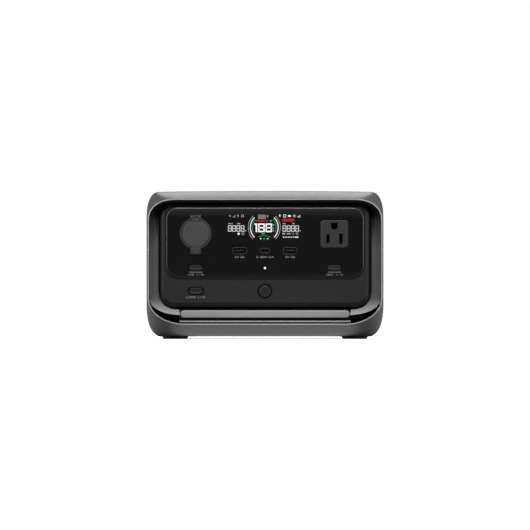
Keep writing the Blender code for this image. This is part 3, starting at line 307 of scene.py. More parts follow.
# Metal darkened nearly to black, as painted shade inside the sockets and ports.
DARKENED_SOCKET_METAL = metal("socket_metal_painted_shade", (0.030, 0.030, 0.031), 0.45)
BRASS = metal("brass", (0.70, 0.50, 0.22), 0.30)
ALUMINIUM = metal("aluminium", (0.62, 0.63, 0.64), 0.36, (1.0, 14.0, 1.0))
FERRITE = plastic("ferrite", (0.040, 0.038, 0.037), 0.70, 0.5, 0.9, 0.15)
BOARD = circuit("circuit_board")
COPPER = winding("copper_winding")
CELL = film("cell_film", (0.030, 0.110, 0.270))
SCREEN = gloss("screen_glass", (0.010, 0.011, 0.012), 0.10)
WHITE_LIGHT = lit("white_light", (0.90, 0.92, 0.92), 0.95)
PALE_LIGHT = lit("pale_light", (0.42, 0.44, 0.45), 0.85)
GREEN_LIGHT = lit("green_light", (0.05, 0.75, 0.16), 0.75)
RED_LIGHT = lit("red_light", (0.80, 0.030, 0.035), 0.60)
DEEP_RED_LIGHT = lit("deep_red_light", (0.80, 0.030, 0.035), 0.24)
BLUE_LIGHT = lit("blue_light", (0.08, 0.62, 0.63), 0.62)
INK = print_ink("pale_ink", (0.46, 0.46, 0.47))
DIM_INK = print_ink("dim_ink", (0.007, 0.007, 0.007))
PALE_STRIP = frosted("strip_frost", (0.26, 0.26, 0.265))
PORT_PLASTIC = plastic("port_plastic", (0.046, 0.046, 0.047), 0.42, 0.12)
PORT_TONGUE = plastic("port_tongue", (0.006, 0.006, 0.006), 0.6, 0.1)
CONTACT = metal("worn_contact", (0.16, 0.16, 0.16), 0.45)
SOCKET_RIM = plastic("socket_rim", (0.068, 0.068, 0.069), 0.40, 0.15)
CHEVRON = rubber("chevron_rubber", (0.10, 0.10, 0.105))
HINGE_RUBBER = rubber("hinge_rubber", (0.031, 0.031, 0.032), 0.62, 0.35)


# Building

def finished(name, shape, angle=30.0):
    mesh = bpy.data.meshes.new(name)
    bmesh.ops.recalc_face_normals(shape, faces=shape.faces)
    shape.to_mesh(mesh)
    shape.free()
    mesh.shade_smooth()
    mesh.set_sharp_from_angle(angle=math.radians(angle))
    return mesh


def placed(name, data):
    obj = bpy.data.objects.new(name, data)
    bpy.context.scene.collection.objects.link(obj)
    return obj


def coat(mesh, material):
    mesh.materials.clear()
    mesh.materials.append(material)


def piece(name, mesh, material, node=None, body=STATION):
    """A finished piece that rides on a body and may stand for a CAD node."""
    coat(mesh, material)
    obj = placed(name, mesh)
    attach(obj, body)
    if node:
        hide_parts(node)
    return obj


def second_finish(obj, material, test):
    """Another material for the faces that pass the test."""
    if len(obj.data.materials) < 2:
        obj.data.materials.append(material)
    for face in obj.data.polygons:
        if test(face):
            face.material_index = 1


def front_edge(obj, limit):
    """A test for the faces whose points all lie in front of this depth in mm."""
    return lambda face: all(obj.data.vertices[i].co.y < limit * MM for i in face.vertices)


def soften(obj, width, segments=2, angle=32.0):
    """Round the edges over this angle, keeping broad faces flat in shading."""
    modifier = obj.modifiers.new("edges", "BEVEL")
    modifier.width = width * MM
    modifier.segments = segments
    modifier.limit_method = "ANGLE"
    modifier.angle_limit = math.radians(angle)
    modifier.harden_normals = False
    weight = obj.modifiers.new("weight", "WEIGHTED_NORMAL")
    weight.keep_sharp = True
    return obj


def loft(rings, capped=True, name="loft", angle=30.0):
    shape = bmesh.new()
    loops = [[shape.verts.new(point) for point in ring] for ring in rings]
    pairs = list(zip(loops, loops[1:]))
    if not capped:
        pairs.append((loops[-1], loops[0]))
    count = len(loops[0])
    for near, far in pairs:
        for i in range(count):
            j = (i + 1) % count
            shape.faces.new((near[i], near[j], far[j], far[i]))
    if capped:
        shape.faces.new(loops[0])
        shape.faces.new(reversed(loops[-1]))
    return finished(name, shape, angle)


def circle(radius, at=(0.0, 0.0), steps=32):
    turns = [2.0 * math.pi * i / steps for i in range(steps)]
    return [(at[0] + radius * math.cos(a), at[1] + radius * math.sin(a)) for a in turns]


def rounded(width, height, radius, at=(0.0, 0.0), steps=8, top_radius=None):
    top = radius if top_radius is None else top_radius
    corners = ((1, -1, radius), (1, 1, top), (-1, 1, top), (-1, -1, radius))
    points = []
    for turn, (side, rise, bend) in enumerate(corners):
        centre = (at[0] + side * (width / 2 - bend), at[1] + rise * (height / 2 - bend))
        for step in range(steps + 1):
            angle = QUARTER * (turn - 1 + step / steps)
            points.append((centre[0] + bend * math.cos(angle), centre[1] + bend * math.sin(angle)))
    return points


def pill(width, height, at=(0.0, 0.0), steps=10):
    return rounded(width, height, min(width, height) / 2 - 0.01, at, steps)


def at_depth(outline, y):
    """Outline points in mm, as X and Z, set at y in mm."""
    return [(x * MM, y * MM, z * MM) for x, z in outline]


def inset_rings(outline_of, edge):
    """Rings from pairs of inset and y, in mm."""
    return [at_depth(outline_of(inset), y) for inset, y in edge]


def round_over(inset, y_near, y_face, steps=6):
    """Inset and depth along a quarter ellipse, from the side wall to the face."""
    edge = []
    for step in range(steps + 1):
        angle = QUARTER * step / steps
        edge.append((inset * (1.0 - math.cos(angle)), y_near + (y_face - y_near) * math.sin(angle)))
    return edge


def prism(outline, y_near, y_far, name="prism", angle=30.0):
    return loft([at_depth(outline, y_near), at_depth(outline, y_far)], True, name, angle)


def joined_prisms(outlines, y_near, y_far):
    """Separate prisms in one mesh, for a cutter or a set of flat marks."""
    shape = bmesh.new()
    for outline in outlines:
        near = [shape.verts.new((x * MM, y_near * MM, z * MM)) for x, z in outline]
        far = [shape.verts.new((x * MM, y_far * MM, z * MM)) for x, z in outline]
        shape.faces.new(near)
        shape.faces.new(far[::-1])
        for i in range(len(near)):
            j = (i + 1) % len(near)
            shape.faces.new((near[j], near[i], far[i], far[j]))
    return finished("prisms", shape)


def boolean(mesh, cutters, operation="DIFFERENCE"):
    """The mesh after each cutter mesh is taken from it, or joined to it."""
    obj = placed("work", mesh)
    tools = []
    for cutter in cutters:
        tool = placed("tool", cutter)
        modifier = obj.modifiers.new("cut", "BOOLEAN")
        modifier.object = tool
        modifier.operation = operation
        modifier.solver = "EXACT"
        tools.append(tool)
    bpy.context.view_layer.update()
    graph = bpy.context.evaluated_depsgraph_get()
    result = bpy.data.meshes.new_from_object(obj.evaluated_get(graph))
    for gone in [obj] + tools:
        bpy.data.objects.remove(gone)
    shape = bmesh.new()
    shape.from_mesh(result)
    bmesh.ops.remove_doubles(shape, verts=shape.verts, dist=1e-7)
    return finished("cut", shape)


def refined(node, material, width=0.25, angle=30.0, segments=2, body=STATION):
    """The CAD node's own solid, its triangles merged to whole faces and its edges rounded."""
    shape = bmesh.new()
    shape.from_mesh(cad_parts[node].data)
    bmesh.ops.remove_doubles(shape, verts=shape.verts, dist=1e-6)
    bmesh.ops.dissolve_limit(shape, angle_limit=math.radians(1.0), verts=shape.verts, edges=shape.edges)
    obj = piece(node + "_skin", finished(node, shape, angle), material, node, body)
    if width:
        soften(obj, width, segments)
    return obj


def relaxed(points, times=5):
    """The inner points drawn towards their neighbours, which rounds off a kink."""
    for _ in range(times):
        inner = [((a[0] + 2 * b[0] + c[0]) / 4, (a[1] + 2 * b[1] + c[1]) / 4)
                 for a, b, c in zip(points, points[1:], points[2:])]
        points = [points[0]] + inner + [points[-1]]
    return points


def corner_points(section, name, sign, inset, steps):
    across, up, power, centre_z = section[name]
    across, up = across - inset, up - inset
    half = section["half"] - inset
    low_z, high_z = section["bottom"] + inset, section["top"] - inset
    points = []
    for step in range(steps + 1):
        share = step / steps
        angle = QUARTER * (share if sign > 0 else 1.0 - share)
        x = half - across + across * math.cos(angle) ** (2.0 / power)
        z = centre_z + sign * up * math.sin(angle) ** (2.0 / power)
        crest = high_z - section["crown"] * (x / section["half"]) ** 4
        points.append((x, min(max(z, low_z), crest)))
    return points


def mirrored(right, middle_point=None):
    left = [(-x, z) for x, z in reversed(right)]
    return right + ([middle_point] if middle_point else []) + left


def upper_path(section, inset, steps=22):
    """From the seam on the right over the top to the seam on the left."""
    high_z = section["top"] - inset
    half = section["half"] - inset
    right = [(half, SEAM_Z + 0.15), (half, SEAM_Z + 9.0)] + corner_points(section, "upper", 1.0, inset, steps)
    for spot in (0.94, 0.85, 0.7, 0.5, 0.25):
        x = spot * (half - section["upper"][0])
        right.append((x, high_z - section["crown"] * (x / section["half"]) ** 4))
    if section["crown"]:
        right[2:] = relaxed(right[2:])
    return mirrored(right, (0.0, high_z))


def lower_path(section, inset, steps=22):
    """From the seam on the right under the bottom to the seam on the left."""
    low_z = section["bottom"] + inset
    half = section["half"] - inset
    right = [(half, SEAM_Z - 0.15), (half, SEAM_Z - 18.0)]
    right += corner_points(section, "lower", -1.0, inset, steps)[::-1]
    right += [(half * 0.5, low_z)]
    return mirrored(right, (0.0, low_z))


def frame_path(section, inset=0.0, steps=20):
    """Round the opening from the lower right over the top to the lower left."""
    right = corner_points(section, "lower", -1.0, inset, steps)
    upper = corner_points(section, "upper", 1.0, inset, steps)
    half = upper[0][0]
    right += [(half, z) for z in (70.0, 85.0, 100.0)] + upper
    return mirrored(right, (0.0, section["top"] - inset))


def eased(first, second, share):
    """One outline turned into the other along a quarter sine."""
    share = math.sin(QUARTER * share)
    return [(a + (c - a) * share, b + (d - b) * share) for (a, b), (c, d) in zip(first, second)]


# Shell

FRONT_TAPER = 31.0
REAR_TAPER = 24.0
REAR_ROUND = 0.9
LIP_BAND = 0.6
WALL = 2.6
REAR_WALL = 4.0
LIP_EDGE = ((0.02, 0.55), (0.14, 0.22), (0.40, 0.03), (0.75, 0.0), (0.98, 0.06), (1.15, 0.3), (1.2, 2.4))


def shell_rings(path):
    """Rings round the wall of one half: outside from rear to front, over the lip, and back inside."""
    rear, full, lip = path(REAR, 0.0), path(FULL, 0.0), path(LIP, 0.0)
    inner_rear, inner_full, inner_lip = path(REAR, REAR_WALL), path(FULL, WALL), path(LIP, WALL)
    ledge = path(REAR, 6.6)
    rings = [(path(REAR, 0.9), REAR_Y), (path(REAR, 0.25), REAR_Y - 0.25), (rear, REAR_Y - REAR_ROUND)]
    for share in [step / 12.0 for step in range(1, 13)]:
        rings.append((eased(rear, full, share), REAR_Y - REAR_ROUND - share * (REAR_TAPER - REAR_ROUND)))
    for share in [step / 16.0 for step in range(16, 0, -1)]:
        rings.append((eased(lip, full, share), FRONT_Y + share * FRONT_TAPER))
    rings += [(path(LIP, inset), FRONT_Y + depth) for inset, depth in LIP_EDGE]
    for share in (0.10, 0.22, 0.5, 0.75, 1.0):
        rings.append((eased(inner_lip, inner_full, share), FRONT_Y + share * FRONT_TAPER))
    for share in (1.0, 0.7, 0.4):
        rings.append((eased(inner_rear, inner_full, share), REAR_Y - share * REAR_TAPER))
    rings += [(inner_rear, REAR_Y - 6.2), (ledge, REAR_Y - 5.9), (ledge, REAR_Y - 4.65),
              (inner_rear, REAR_Y - 4.6), (inner_rear, REAR_Y - 0.5), (path(REAR, 3.6), REAR_Y)]
    return [at_depth(outline, y) for outline, y in rings]


def make_shells():
    for name, path in (("upper_shell", upper_path), ("lower_shell", lower_path)):
        wall = loft(zip(*shell_rings(path)), True, name, 34.0)
        shell = piece(name + "_skin", wall, SHELL, name)
        # the lip band gets the painted highlight
        second_finish(shell, LIP_HIGHLIGHT, front_edge(shell, FRONT_Y + LIP_BAND))
        soften(shell, 0.30, 2, 50.0)


def smooth_step(value, start, end):
    share = min(max((value - start) / (end - start), 0.0), 1.0)
    return share * share * (3.0 - 2.0 * share)


BACKING_LAP = 4.0


def make_bezel():
    """The frame sweeps back under the brow, so its inner edge lies deeper along the top."""
    outer, inner = frame_path(BEZEL_OUTER), frame_path(BEZEL_INNER)
    front = low("front_bezel").y / MM
    back = high("front_bezel").y / MM
    inner_y = front + 7.0
    flange = frame_path(BEZEL_OUTER, 1.6)

    def sunk(share, lift=0.0):
        points = []
        for (x0, z0), (x1, z1) in zip(outer, inner):
            x, z = x0 + (x1 - x0) * share, z0 + (z1 - z0) * share
            drop = 8.0 * smooth_step(z1, 104.0, 132.0) * share
            dip = 1.1 * math.sin(math.pi * share)
            points.append((x * MM, (front + (inner_y - front) * share + drop + dip - lift) * MM, z * MM))
        return points

    rings = [sunk(share) for share in (0.0, 0.04, 0.2, 0.4, 0.6, 0.8, 0.93, 1.0)]
    rings += [at_depth(outline, y) for outline, y in
              ((inner, back), (flange, back), (flange, front + 2.5), (outer, front + 2.4))]
    bezel = loft(zip(*rings), True, "bezel", 34.0)
    soften(piece("bezel_skin", bezel, BEZEL, "front_bezel"), 0.35, 3, 45)
    wide, narrow = frame_path(BEZEL_INNER, -BACKING_LAP), frame_path(BEZEL_INNER, 2 * BACKING_LAP)
    near, far = back + 0.05, back + 1.1
    rings = [at_depth(wide, near), at_depth(narrow, near), at_depth(narrow, far), at_depth(wide, far)]
    piece("bezel_backing", loft(zip(*rings), True, "backing"), BLACK)


# Front panel and fascia

def place_of(node):
    spot = middle(node)
    return (spot.x / MM, spot.z / MM)


def size_of(node):
    span = high(node) - low(node)
    return (span.x / MM, span.z / MM)


def shared_holes(margin=0.0):
    holes = []
    for node in ("dc_button", "ac_button"):
        holes.append(pill(16.4 + margin, 7.0 + margin, place_of(node)))
    for node in ("dc_light_strip", "ac_light_strip"):
        holes.append(rounded(13.5, 1.2, 0.3, place_of(node), 2))
    holes.append(circle(1.4 + margin / 2, place_of("status_light"), 24))
    holes.append(rounded(27.4 + margin, 27.4 + margin, 2.6, place_of("ac_outlet"), 6))
    for node in ("usb_a_port_left", "usb_a_port_right"):
        holes.append(rounded(14.3, 7.2, 2.1, place_of(node), 5))
    holes.append(pill(10.7, 5.7, place_of("usb_c_port")))
    return holes


def plate_outline(node, radii, steps=12):
    lo, hi = limits(node)

    def outline(inset):
        return rounded(hi.x - lo.x - 2 * inset, hi.z - lo.z - 2 * inset, radii[1] - inset,
                       (0.0, (lo.z + hi.z) / 2), steps, radii[0] - inset)
    return outline


def socket_place():
    lo, hi = limits("car_socket")
    return ((lo.x + hi.x) / 2, lo.z + (hi.x - lo.x) / 2)


def shade_behind(obj, depth):
    """Painted shade: flat black for every face that lies wholly behind this depth in mm."""
    second_finish(obj, HOLE_SHADE, lambda face: face.center.y > depth * MM)


def shade_walls(obj, half_width, bottom, top):
    """Paint shade on the walls of the openings inside these limits, as a flat black."""
    def is_wall(face):
        spot = face.center / MM
        return abs(face.normal.y) < 0.3 and abs(spot.x) < half_width and bottom < spot.z < top

    second_finish(obj, HOLE_SHADE, is_wall)


def make_panel():
    lo, hi = limits("front_panel")
    outline = plate_outline("front_panel", (12.0, 13.0))
    edge = [(0.0, hi.y)] + round_over(5.2, hi.y - 3.6, lo.y, 9)
    body = loft(inset_rings(outline, edge), True, "panel")
    pocket = loft(inset_rings(outline, [(3.0, hi.y + 5.0), (3.0, lo.y + 2.7)]), True, "pocket")
    fascia_lo, fascia_hi = limits("fascia")
    height = fascia_hi.z - fascia_lo.z + 10.0
    recess = rounded(fascia_hi.x - fascia_lo.x + 0.8, height, 13.8,
                     (0.0, fascia_lo.z - 0.4 + height / 2), 12, 12.0)
    recess_mesh = prism(recess, lo.y - 5.0, fascia_hi.y + 0.3)
    window = rounded(size_of("display_module")[0] + 0.6, size_of("display_module")[1] + 0.6, 0.5,
                     place_of("display_module"), 2)
    own = [circle(12.9, socket_place(), 40), circle(7.2, place_of("power_button"), 48),
           pill(16.2, 7.8, place_of("light_button")), window]
    holes = joined_prisms(shared_holes() + own, lo.y - 5.0, hi.y + 5.0)
    panel = piece("panel_skin", boolean(body, [pocket, recess_mesh, holes]), PANEL, "front_panel")
    # painted shade on the walls of the panel's openings
    shade_walls(panel, hi.x - 4.0, lo.z + 4.0, hi.z - 1.5)
    deep, half = (fascia_hi.y - 0.5) * MM, (fascia_hi.x + 1.0) * MM
    # painted shade on the panel's faces behind the fascia
    second_finish(panel, HOLE_SHADE, lambda face: face.center.y > deep and abs(face.center.x) < half)
    soften(panel, 0.18, 2, 40)


FASCIA_GAP = 0.7


def make_fascia():
    lo, hi = limits("fascia")
    outline = plate_outline("fascia", (12.0, 13.4))
    edge = [(0.0, hi.y)] + round_over(4.2, hi.y - 0.45, lo.y, 12)
    body = loft(inset_rings(outline, [(FASCIA_GAP + inset, y) for inset, y in edge]), True, "fascia")
    holes = joined_prisms(shared_holes() + [circle(15.9, socket_place(), 64)], lo.y - 3.0, hi.y + 3.0)
    fascia = piece("fascia_skin", boolean(body, [holes]), GLOSS, "fascia")
    # painted shade on the walls of the fascia's openings
    shade_walls(fascia, hi.x - 4.0, lo.z + 4.0, hi.z - 4.0)
    soften(fascia, 0.10, 2, 45)


# Controls

PILL_FACE = ((0.10, 0.34), (0.30, 0.12), (0.60, 0.0), (0.95, 0.02), (1.4, 0.16), (1.9, 0.34), (2.4, 0.42))
ROUND_FACE = ((0.15, 0.60), (0.45, 0.36), (1.0, 0.18), (1.8, 0.06), (2.8, 0.0), (3.8, 0.02), (4.8, 0.06))


def make_button(node, width, height, face_edge):
    """A button with the flange and stem behind it; its face is given as pairs of inset and depth."""
    lo, hi = limits(node)
    spot = place_of(node)
    face = lo.y
    flange = (width + 3.0, height + 3.0)
    layers = [(hi.y, 3.0, 3.0), (face + 5.6, 3.0, 3.0), (face + 5.6, *flange), (face + 4.2, *flange),
              (face + 4.2, width, height), (face + 0.9, width, height)]
    layers += [(face + depth, width - 2 * inset, height - 2 * inset) for inset, depth in face_edge]
    rings = [at_depth(pill(across, up, spot), y) for y, across, up in layers]
    button = piece(node + "_skin", loft(rings, True, node, 34.0), BUTTON, node, node)
    # painted shade on the stem and flange behind the button's face
    shade_behind(button, face + 1.2)


def ring_mark(at, outer, inner, y, depth=0.06, steps=40, start=0.0, end=360.0):
    """A flat arc or a whole ring."""
    full = end - start >= 359.9
    count = steps if full else steps + 1
    shape = bmesh.new()
    loops = []
    for radius, dy in ((outer, 0.0), (inner, 0.0), (inner, depth), (outer, depth)):
        loop = []
        for i in range(count):
            angle = math.radians(start + (end - start) * i / steps)
            x, z = at[0] + radius * math.cos(angle), at[1] + radius * math.sin(angle)
            loop.append(shape.verts.new((x * MM, (y + dy) * MM, z * MM)))
        loops.append(loop)
    for k in range(4):
        near, far = loops[k], loops[(k + 1) % 4]
        for i in range(count if full else count - 1):
            j = (i + 1) % count
            shape.faces.new((near[i], near[j], far[j], far[i]))
    if not full:
        for i in (0, -1):
            shape.faces.new([loop[i] for loop in loops])
    return shape


def merged(shapes, name):
    """One mesh from several flat marks."""
    total = bmesh.new()
    for shape in shapes:
        mesh = shape
        if isinstance(shape, bmesh.types.BMesh):
            mesh = bpy.data.meshes.new("mark")
            shape.to_mesh(mesh)
            shape.free()
        total.from_mesh(mesh)
        bpy.data.meshes.remove(mesh)
    return finished(name, total)


def bars(rects, y, depth=0.05):
    """Flat marks from centre x, centre z, width and height, with softly cut corners."""
    outlines = [rounded(w, h, min(w, h) * 0.22, (x, z), 2) for x, z, w, h in rects]
    return joined_prisms(outlines, y, y + depth)


def make_controls():
    make_button("dc_button", 13.7, 5.3, PILL_FACE)
    make_button("ac_button", 13.7, 5.3, PILL_FACE)
    make_button("light_button", 13.5, 6.1, PILL_FACE)
    make_button("power_button", 11.8, 11.8, ROUND_FACE)
    face = low("power_button").y / MM
    at = place_of("power_button")
    sign = [ring_mark(at, 1.95, 1.45, face + 0.02, 0.1, 40, 118.0, 422.0),
            bars([(at[0], at[1] + 1.5, 0.42, 1.7)], face + 0.02, 0.1)]
    piece("power_sign", merged(sign, "power_sign"), DIM_INK, body="power_button")
    for node in ("dc_light_strip", "ac_light_strip"):
        lo, hi = limits(node)
        strip = prism(rounded(*size_of(node), 0.3, place_of(node), 4), lo.y, hi.y)
        soften(piece(node + "_skin", strip, PALE_STRIP, node), 0.12)
    lo, hi = limits("status_light")
    at = place_of("status_light")
    dome = [(0.0, hi.y), (0.0, lo.y + 0.3), (0.25, lo.y + 0.08), (0.6, lo.y), (0.9, lo.y - 0.02)]
    rings = [at_depth(circle(1.1 - inset, at, 24), y) for inset, y in dome]
    piece("status_lens", loft(rings, True, "status_lens"), WHITE_LIGHT, "status_light")


# Sockets

def make_outlet():
    lo, hi = limits("ac_outlet")
    at = place_of("ac_outlet")
    outer = [(0.0, hi.y), (0.0, lo.y + 1.0)] + [(i, y) for i, y in round_over(0.9, lo.y + 0.9, lo.y, 5)]
    rings = [at_depth(rounded(26.8 - 2 * i, 26.8 - 2 * i, 2.4 - min(i, 2.0), at, 8), y) for i, y in outer]
    body = loft(rings, True, "outlet")
    cx, cz = at
    ground = rounded(6.6, 6.8, 3.29, (cx, cz + 7.4), 10, 0.5)
    blades = ((cx - 6.4, cz - 5.0, 3.3, 8.5), (cx + 6.4, cz - 5.0, 3.4, 10.2))
    slots = [rounded(w, h, 0.35, (x, z), 4) for x, z, w, h in blades]
    mesh = boolean(body, [joined_prisms(slots + [ground], lo.y - 3.0, lo.y + 13.0)])
    soften(piece("outlet_skin", mesh, OUTLET, "ac_outlet"), 0.30, 3, 45)
    behind = low("front_panel").y / MM + 2.8
    wide, narrow = rounded(30.0, 30.0, 4.0, at, 8), rounded(26.6, 26.6, 2.3, at, 8)
    seal = [at_depth(outline, y) for outline, y in
            ((wide, behind), (narrow, behind), (narrow, behind + 1.2), (wide, behind + 1.2))]
    piece("outlet_seal", loft(seal, False, "seal"), RUBBER)
    contacts = []
    for x, z, w, h in blades:
        for side in (-1.0, 1.0):
            contacts.append(rounded(0.5, h - 1.6, 0.2, (x + side * (w / 2 - 0.5), z), 2))
    # contacts darkened as painted shade deep in the slots
    piece("outlet_contacts", joined_prisms(contacts, lo.y + 6.5, lo.y + 12.6), DARKENED_SOCKET_METAL)
    sleeve = ring_mark((cx, cz + 6.9), 2.7, 2.35, lo.y + 6.5, 6.0, 32)
    piece("outlet_ground_sleeve", merged([sleeve], "sleeve"), DARKENED_SOCKET_METAL)


def make_usb(node, outer, opening, tongue, rise):
    lo, hi = limits(node)
    at = place_of(node)
    rings = [at_depth(outer(inset, at), y) for inset, y in ((0.0, hi.y), (0.0, lo.y + 0.3), (0.3, lo.y))]
    mesh = boolean(loft(rings, True, node), [prism(opening(0.0, at), lo.y - 2.0, lo.y + 9.6)])
    port = piece(node + "_skin", mesh, PORT_PLASTIC, node)
    # painted shade inside the port
    shade_behind(port, lo.y + 0.4)
    soften(port, 0.12, 2, 40)
    rings = [at_depth(opening(inset, at), lo.y + depth) for inset, depth in
             ((0.02, 0.5), (0.24, 0.5), (0.24, 9.4), (0.02, 9.4))]
    piece(node + "_liner", loft(rings, False, "liner"), DARKENED_SOCKET_METAL)
    width, height = tongue
    slab = rounded(width, height, min(0.25, height / 2.1), (at[0], at[1] + rise), 3)
    piece(node + "_tongue", prism(slab, lo.y + 0.9, lo.y + 9.5), PORT_TONGUE)
    return at, lo.y


def make_ports():
    for node in ("usb_a_port_left", "usb_a_port_right"):
        at, face = make_usb(node, lambda i, p: rounded(14.0 - 2 * i, 6.9 - 2 * i, 2.0 - i, p, 5),
                            lambda i, p: rounded(12.5 - 2 * i, 5.4 - 2 * i, 1.2 - i, p, 5), (10.4, 1.9), 0.2)
        pads = [(at[0] + dx, at[1] + 0.2, 0.9, 0.9) for dx in (-3.45, -1.15, 1.15, 3.45)]
        piece(node + "_contacts", bars(pads, face + 0.84, 0.3), CONTACT)
    at, face = make_usb("usb_c_port", lambda i, p: pill(10.1 - 2 * i, 5.1 - 2 * i, p, 8),
                        lambda i, p: pill(9.0 - 2 * i, 3.2 - 2 * i, p, 8), (6.8, 0.7), 0.0)
    pads = [(at[0] + 0.5 * (i - 5.5), at[1] - 0.37, 0.26, 0.06) for i in range(12)]
    piece("usb_c_port_contacts", bars(pads, face + 1.4, 5.0), BRASS)


def make_car_socket():
    at = socket_place()
    hi = high("car_socket").y / MM
    face = FACE_Y / MM
    depth = hi - face
    profile = [(10.6, 0.6), (14.1, 0.6), (14.1, -0.35), (14.25, -0.65), (14.6, -0.8), (15.1, -0.8),
               (15.45, -0.6), (15.6, -0.2), (15.6, 1.4), (12.5, 1.4), (12.5, depth), (0.02, depth),
               (0.02, depth - 2.0), (10.6, depth - 2.0)]
    rings = [at_depth(circle(radius, at, 72), face + dy) for radius, dy in profile]
    body = loft(rings, False, "socket")
    lugs = []
    for side in (-1.0, 1.0):
        lug = rounded(1.6, 5.0, 0.6, (at[0] + side * 4.6, at[1] + 17.0 - 0.9), 4)
        lugs.append(prism(lug, face - 3.2, face - 0.3))
    mesh = boolean(body, lugs, "UNION")
    soften(piece("car_socket_skin", mesh, SOCKET_RIM, "car_socket"), 0.15, 2, 40)
    clip = []
    for angle in (30.0, 150.0, 270.0):
        clip.append(ring_mark(at, 10.55, 10.1, face + 12.0, 20.0, 12, angle - 14.0, angle + 14.0))
    clip.append(ring_mark(at, 3.0, 0.4, hi - 3.4, 1.4, 24))
    piece("socket_contacts", merged(clip, "clips"), STEEL)


def make_cover():
    """Disc with a soft shoulder, plug, hinge neck and a pull tab with a small chevron."""
    at = socket_place()
    face = FACE_Y / MM
    profile = [(0.4, -1.90), (3.0, -1.90), (7.0, -1.90), (11.6, -1.90), (12.6, -1.88), (13.1, -1.75),
               (13.45, -1.45), (13.65, -1.0), (13.7, -0.5), (13.7, 0.3), (9.4, 0.3), (9.4, 2.1), (9.1, 2.4),
               (0.02, 2.4)]
    rings = [at_depth(circle(radius, at, 72), face + dy) for radius, dy in profile]
    disc = piece("socket_cover_disc", loft(rings, True, "disc", 50.0), COVER,
                 "car_socket_cover", "socket_cover")
    disc.data.set_sharp_from_angle(angle=math.radians(50.0))
    hinge = middle("cover_hinge_pin") / MM
    neck = prism(rounded(7.0, 4.6, 0.4, (at[0], hinge.z - 2.3), 3), hinge.y - 0.65, hinge.y + 0.75)
    soften(piece("socket_cover_neck", neck, SOCKET_RIM, body="socket_cover"), 0.25, 3, 40)
    sleeve = [[((at[0] + x) * MM, y * MM, z * MM) for y, z in circle(radius, (hinge.y, hinge.z))]
              for radius, x in ((0.85, -3.5), (1.4, -3.5), (1.4, 3.5), (0.85, 3.5))]
    knuckle = piece("socket_cover_knuckle", loft(sleeve, False), HINGE_RUBBER, body="socket_cover")
    soften(knuckle, 0.2, 2, 60)
    link = prism(rounded(9.0, 2.8, 0.3, (at[0], at[1] - 14.4), 2), face - 1.35, face - 0.85)
    piece("socket_cover_link", link, SOCKET_RIM, body="socket_cover")
    tab_top = at[1] - 15.5
    tab_bottom = low("car_socket_cover").z / MM
    tab = rounded(10.4, tab_top - tab_bottom, 1.2, (at[0], (tab_top + tab_bottom) / 2), 5, 0.3)
    tab = prism(tab, face - 1.75, face - 0.75)
    soften(piece("socket_cover_tab", tab, HINGE_RUBBER, body="socket_cover"), 0.25, 3, 40)
    chevron_z = tab_bottom + 2.4
    marks = []
    for side in (-1.0, 1.0):
        x, tip_x, z = at[0], at[0] + side * 1.5, chevron_z
        points = [(x, z + 0.9), (tip_x, z), (tip_x, z - 0.45), (x, z + 0.45)]
        marks.append(points if side < 0 else points[::-1])
    marks = joined_prisms(marks, face - 1.82, face - 1.7)
    piece("cover_chevron", marks, CHEVRON, body="socket_cover")


# Light bar

def make_light_bar():
    lo, hi = limits("light_diffuser")
    outline = plate_outline("light_diffuser", (3.65, 3.65), 12)
    edge = [(0.0, hi.y)] + round_over(1.9, lo.y + 1.6, lo.y, 8)
    mesh = loft(inset_rings(outline, edge), True, "diffuser", 60.0)
    piece("diffuser_skin", mesh, DIFFUSER, "light_diffuser")
    tray = refined("light_tray", BLACK, 0.45, segments=3)
    # the tray's front edge gets the painted highlight
    second_finish(tray, LIP_HIGHLIGHT, front_edge(tray, limits("light_tray")[0].y + 0.8))
    board = low("light_board") / MM
    chips = []
    for i in range(18):
        chips.append((-74.4 + i * 8.75, middle("light_board").z / MM, 2.8, 2.8))
    piece("light_chips", bars(chips, board.y - 0.6, 0.5), PALE_LIGHT)


# Display

def eight(x, z, width, height, s):
    """The seven strokes of an 8, this thick and with mitred corners, round the centre x, z."""
    half_w, half_h, gap = width / 2, height / 2, s * 0.06
    tip = half_w - s * 0.75
    strokes = [[(-tip, 0), (-tip + s / 2, -s / 2), (tip - s / 2, -s / 2), (tip, 0), (tip - s / 2, s / 2),
                (-tip + s / 2, s / 2)]]
    for rise in (1.0, -1.0):
        end, edge = half_w - gap, half_h - s
        strokes.append([(-end, rise * half_h), (end, rise * half_h), (end - s, rise * edge),
                        (s - end, rise * edge)])
        for side in (1.0, -1.0):
            outer, inner = side * half_w, side * (half_w - s)
            strokes.append([(outer, rise * gap), (outer, rise * (half_h - gap)), (inner, rise * (edge - gap)),
                            (inner, rise * (s / 2 + gap))])
    return [[(x + dx, z + dz) for dx, dz in stroke] for stroke in strokes]


def eights(count, x_left, x_right, z, height, stroke):
    pitch = (x_right - x_left) / count
    digits = [eight(x_left + pitch * (i + 0.5), z, pitch * 0.80, height, stroke) for i in range(count)]
    return sum(digits, [])


def small_marks(x_left, x_right, z, height, words):
    """Rows of short strokes that stand for fine print."""
    outlines = []
    x = x_left
    for count in words:
        for _ in range(count):
            width = draw.uniform(0.34, 0.62) * height
            outlines.append(rounded(width, height * draw.uniform(0.75, 1.0), 0.05, (x + width / 2, z), 1))
            x += width + 0.22 * height
        x += 0.45 * height
    return [o for o in outlines if max(p[0] for p in o) <= x_right]


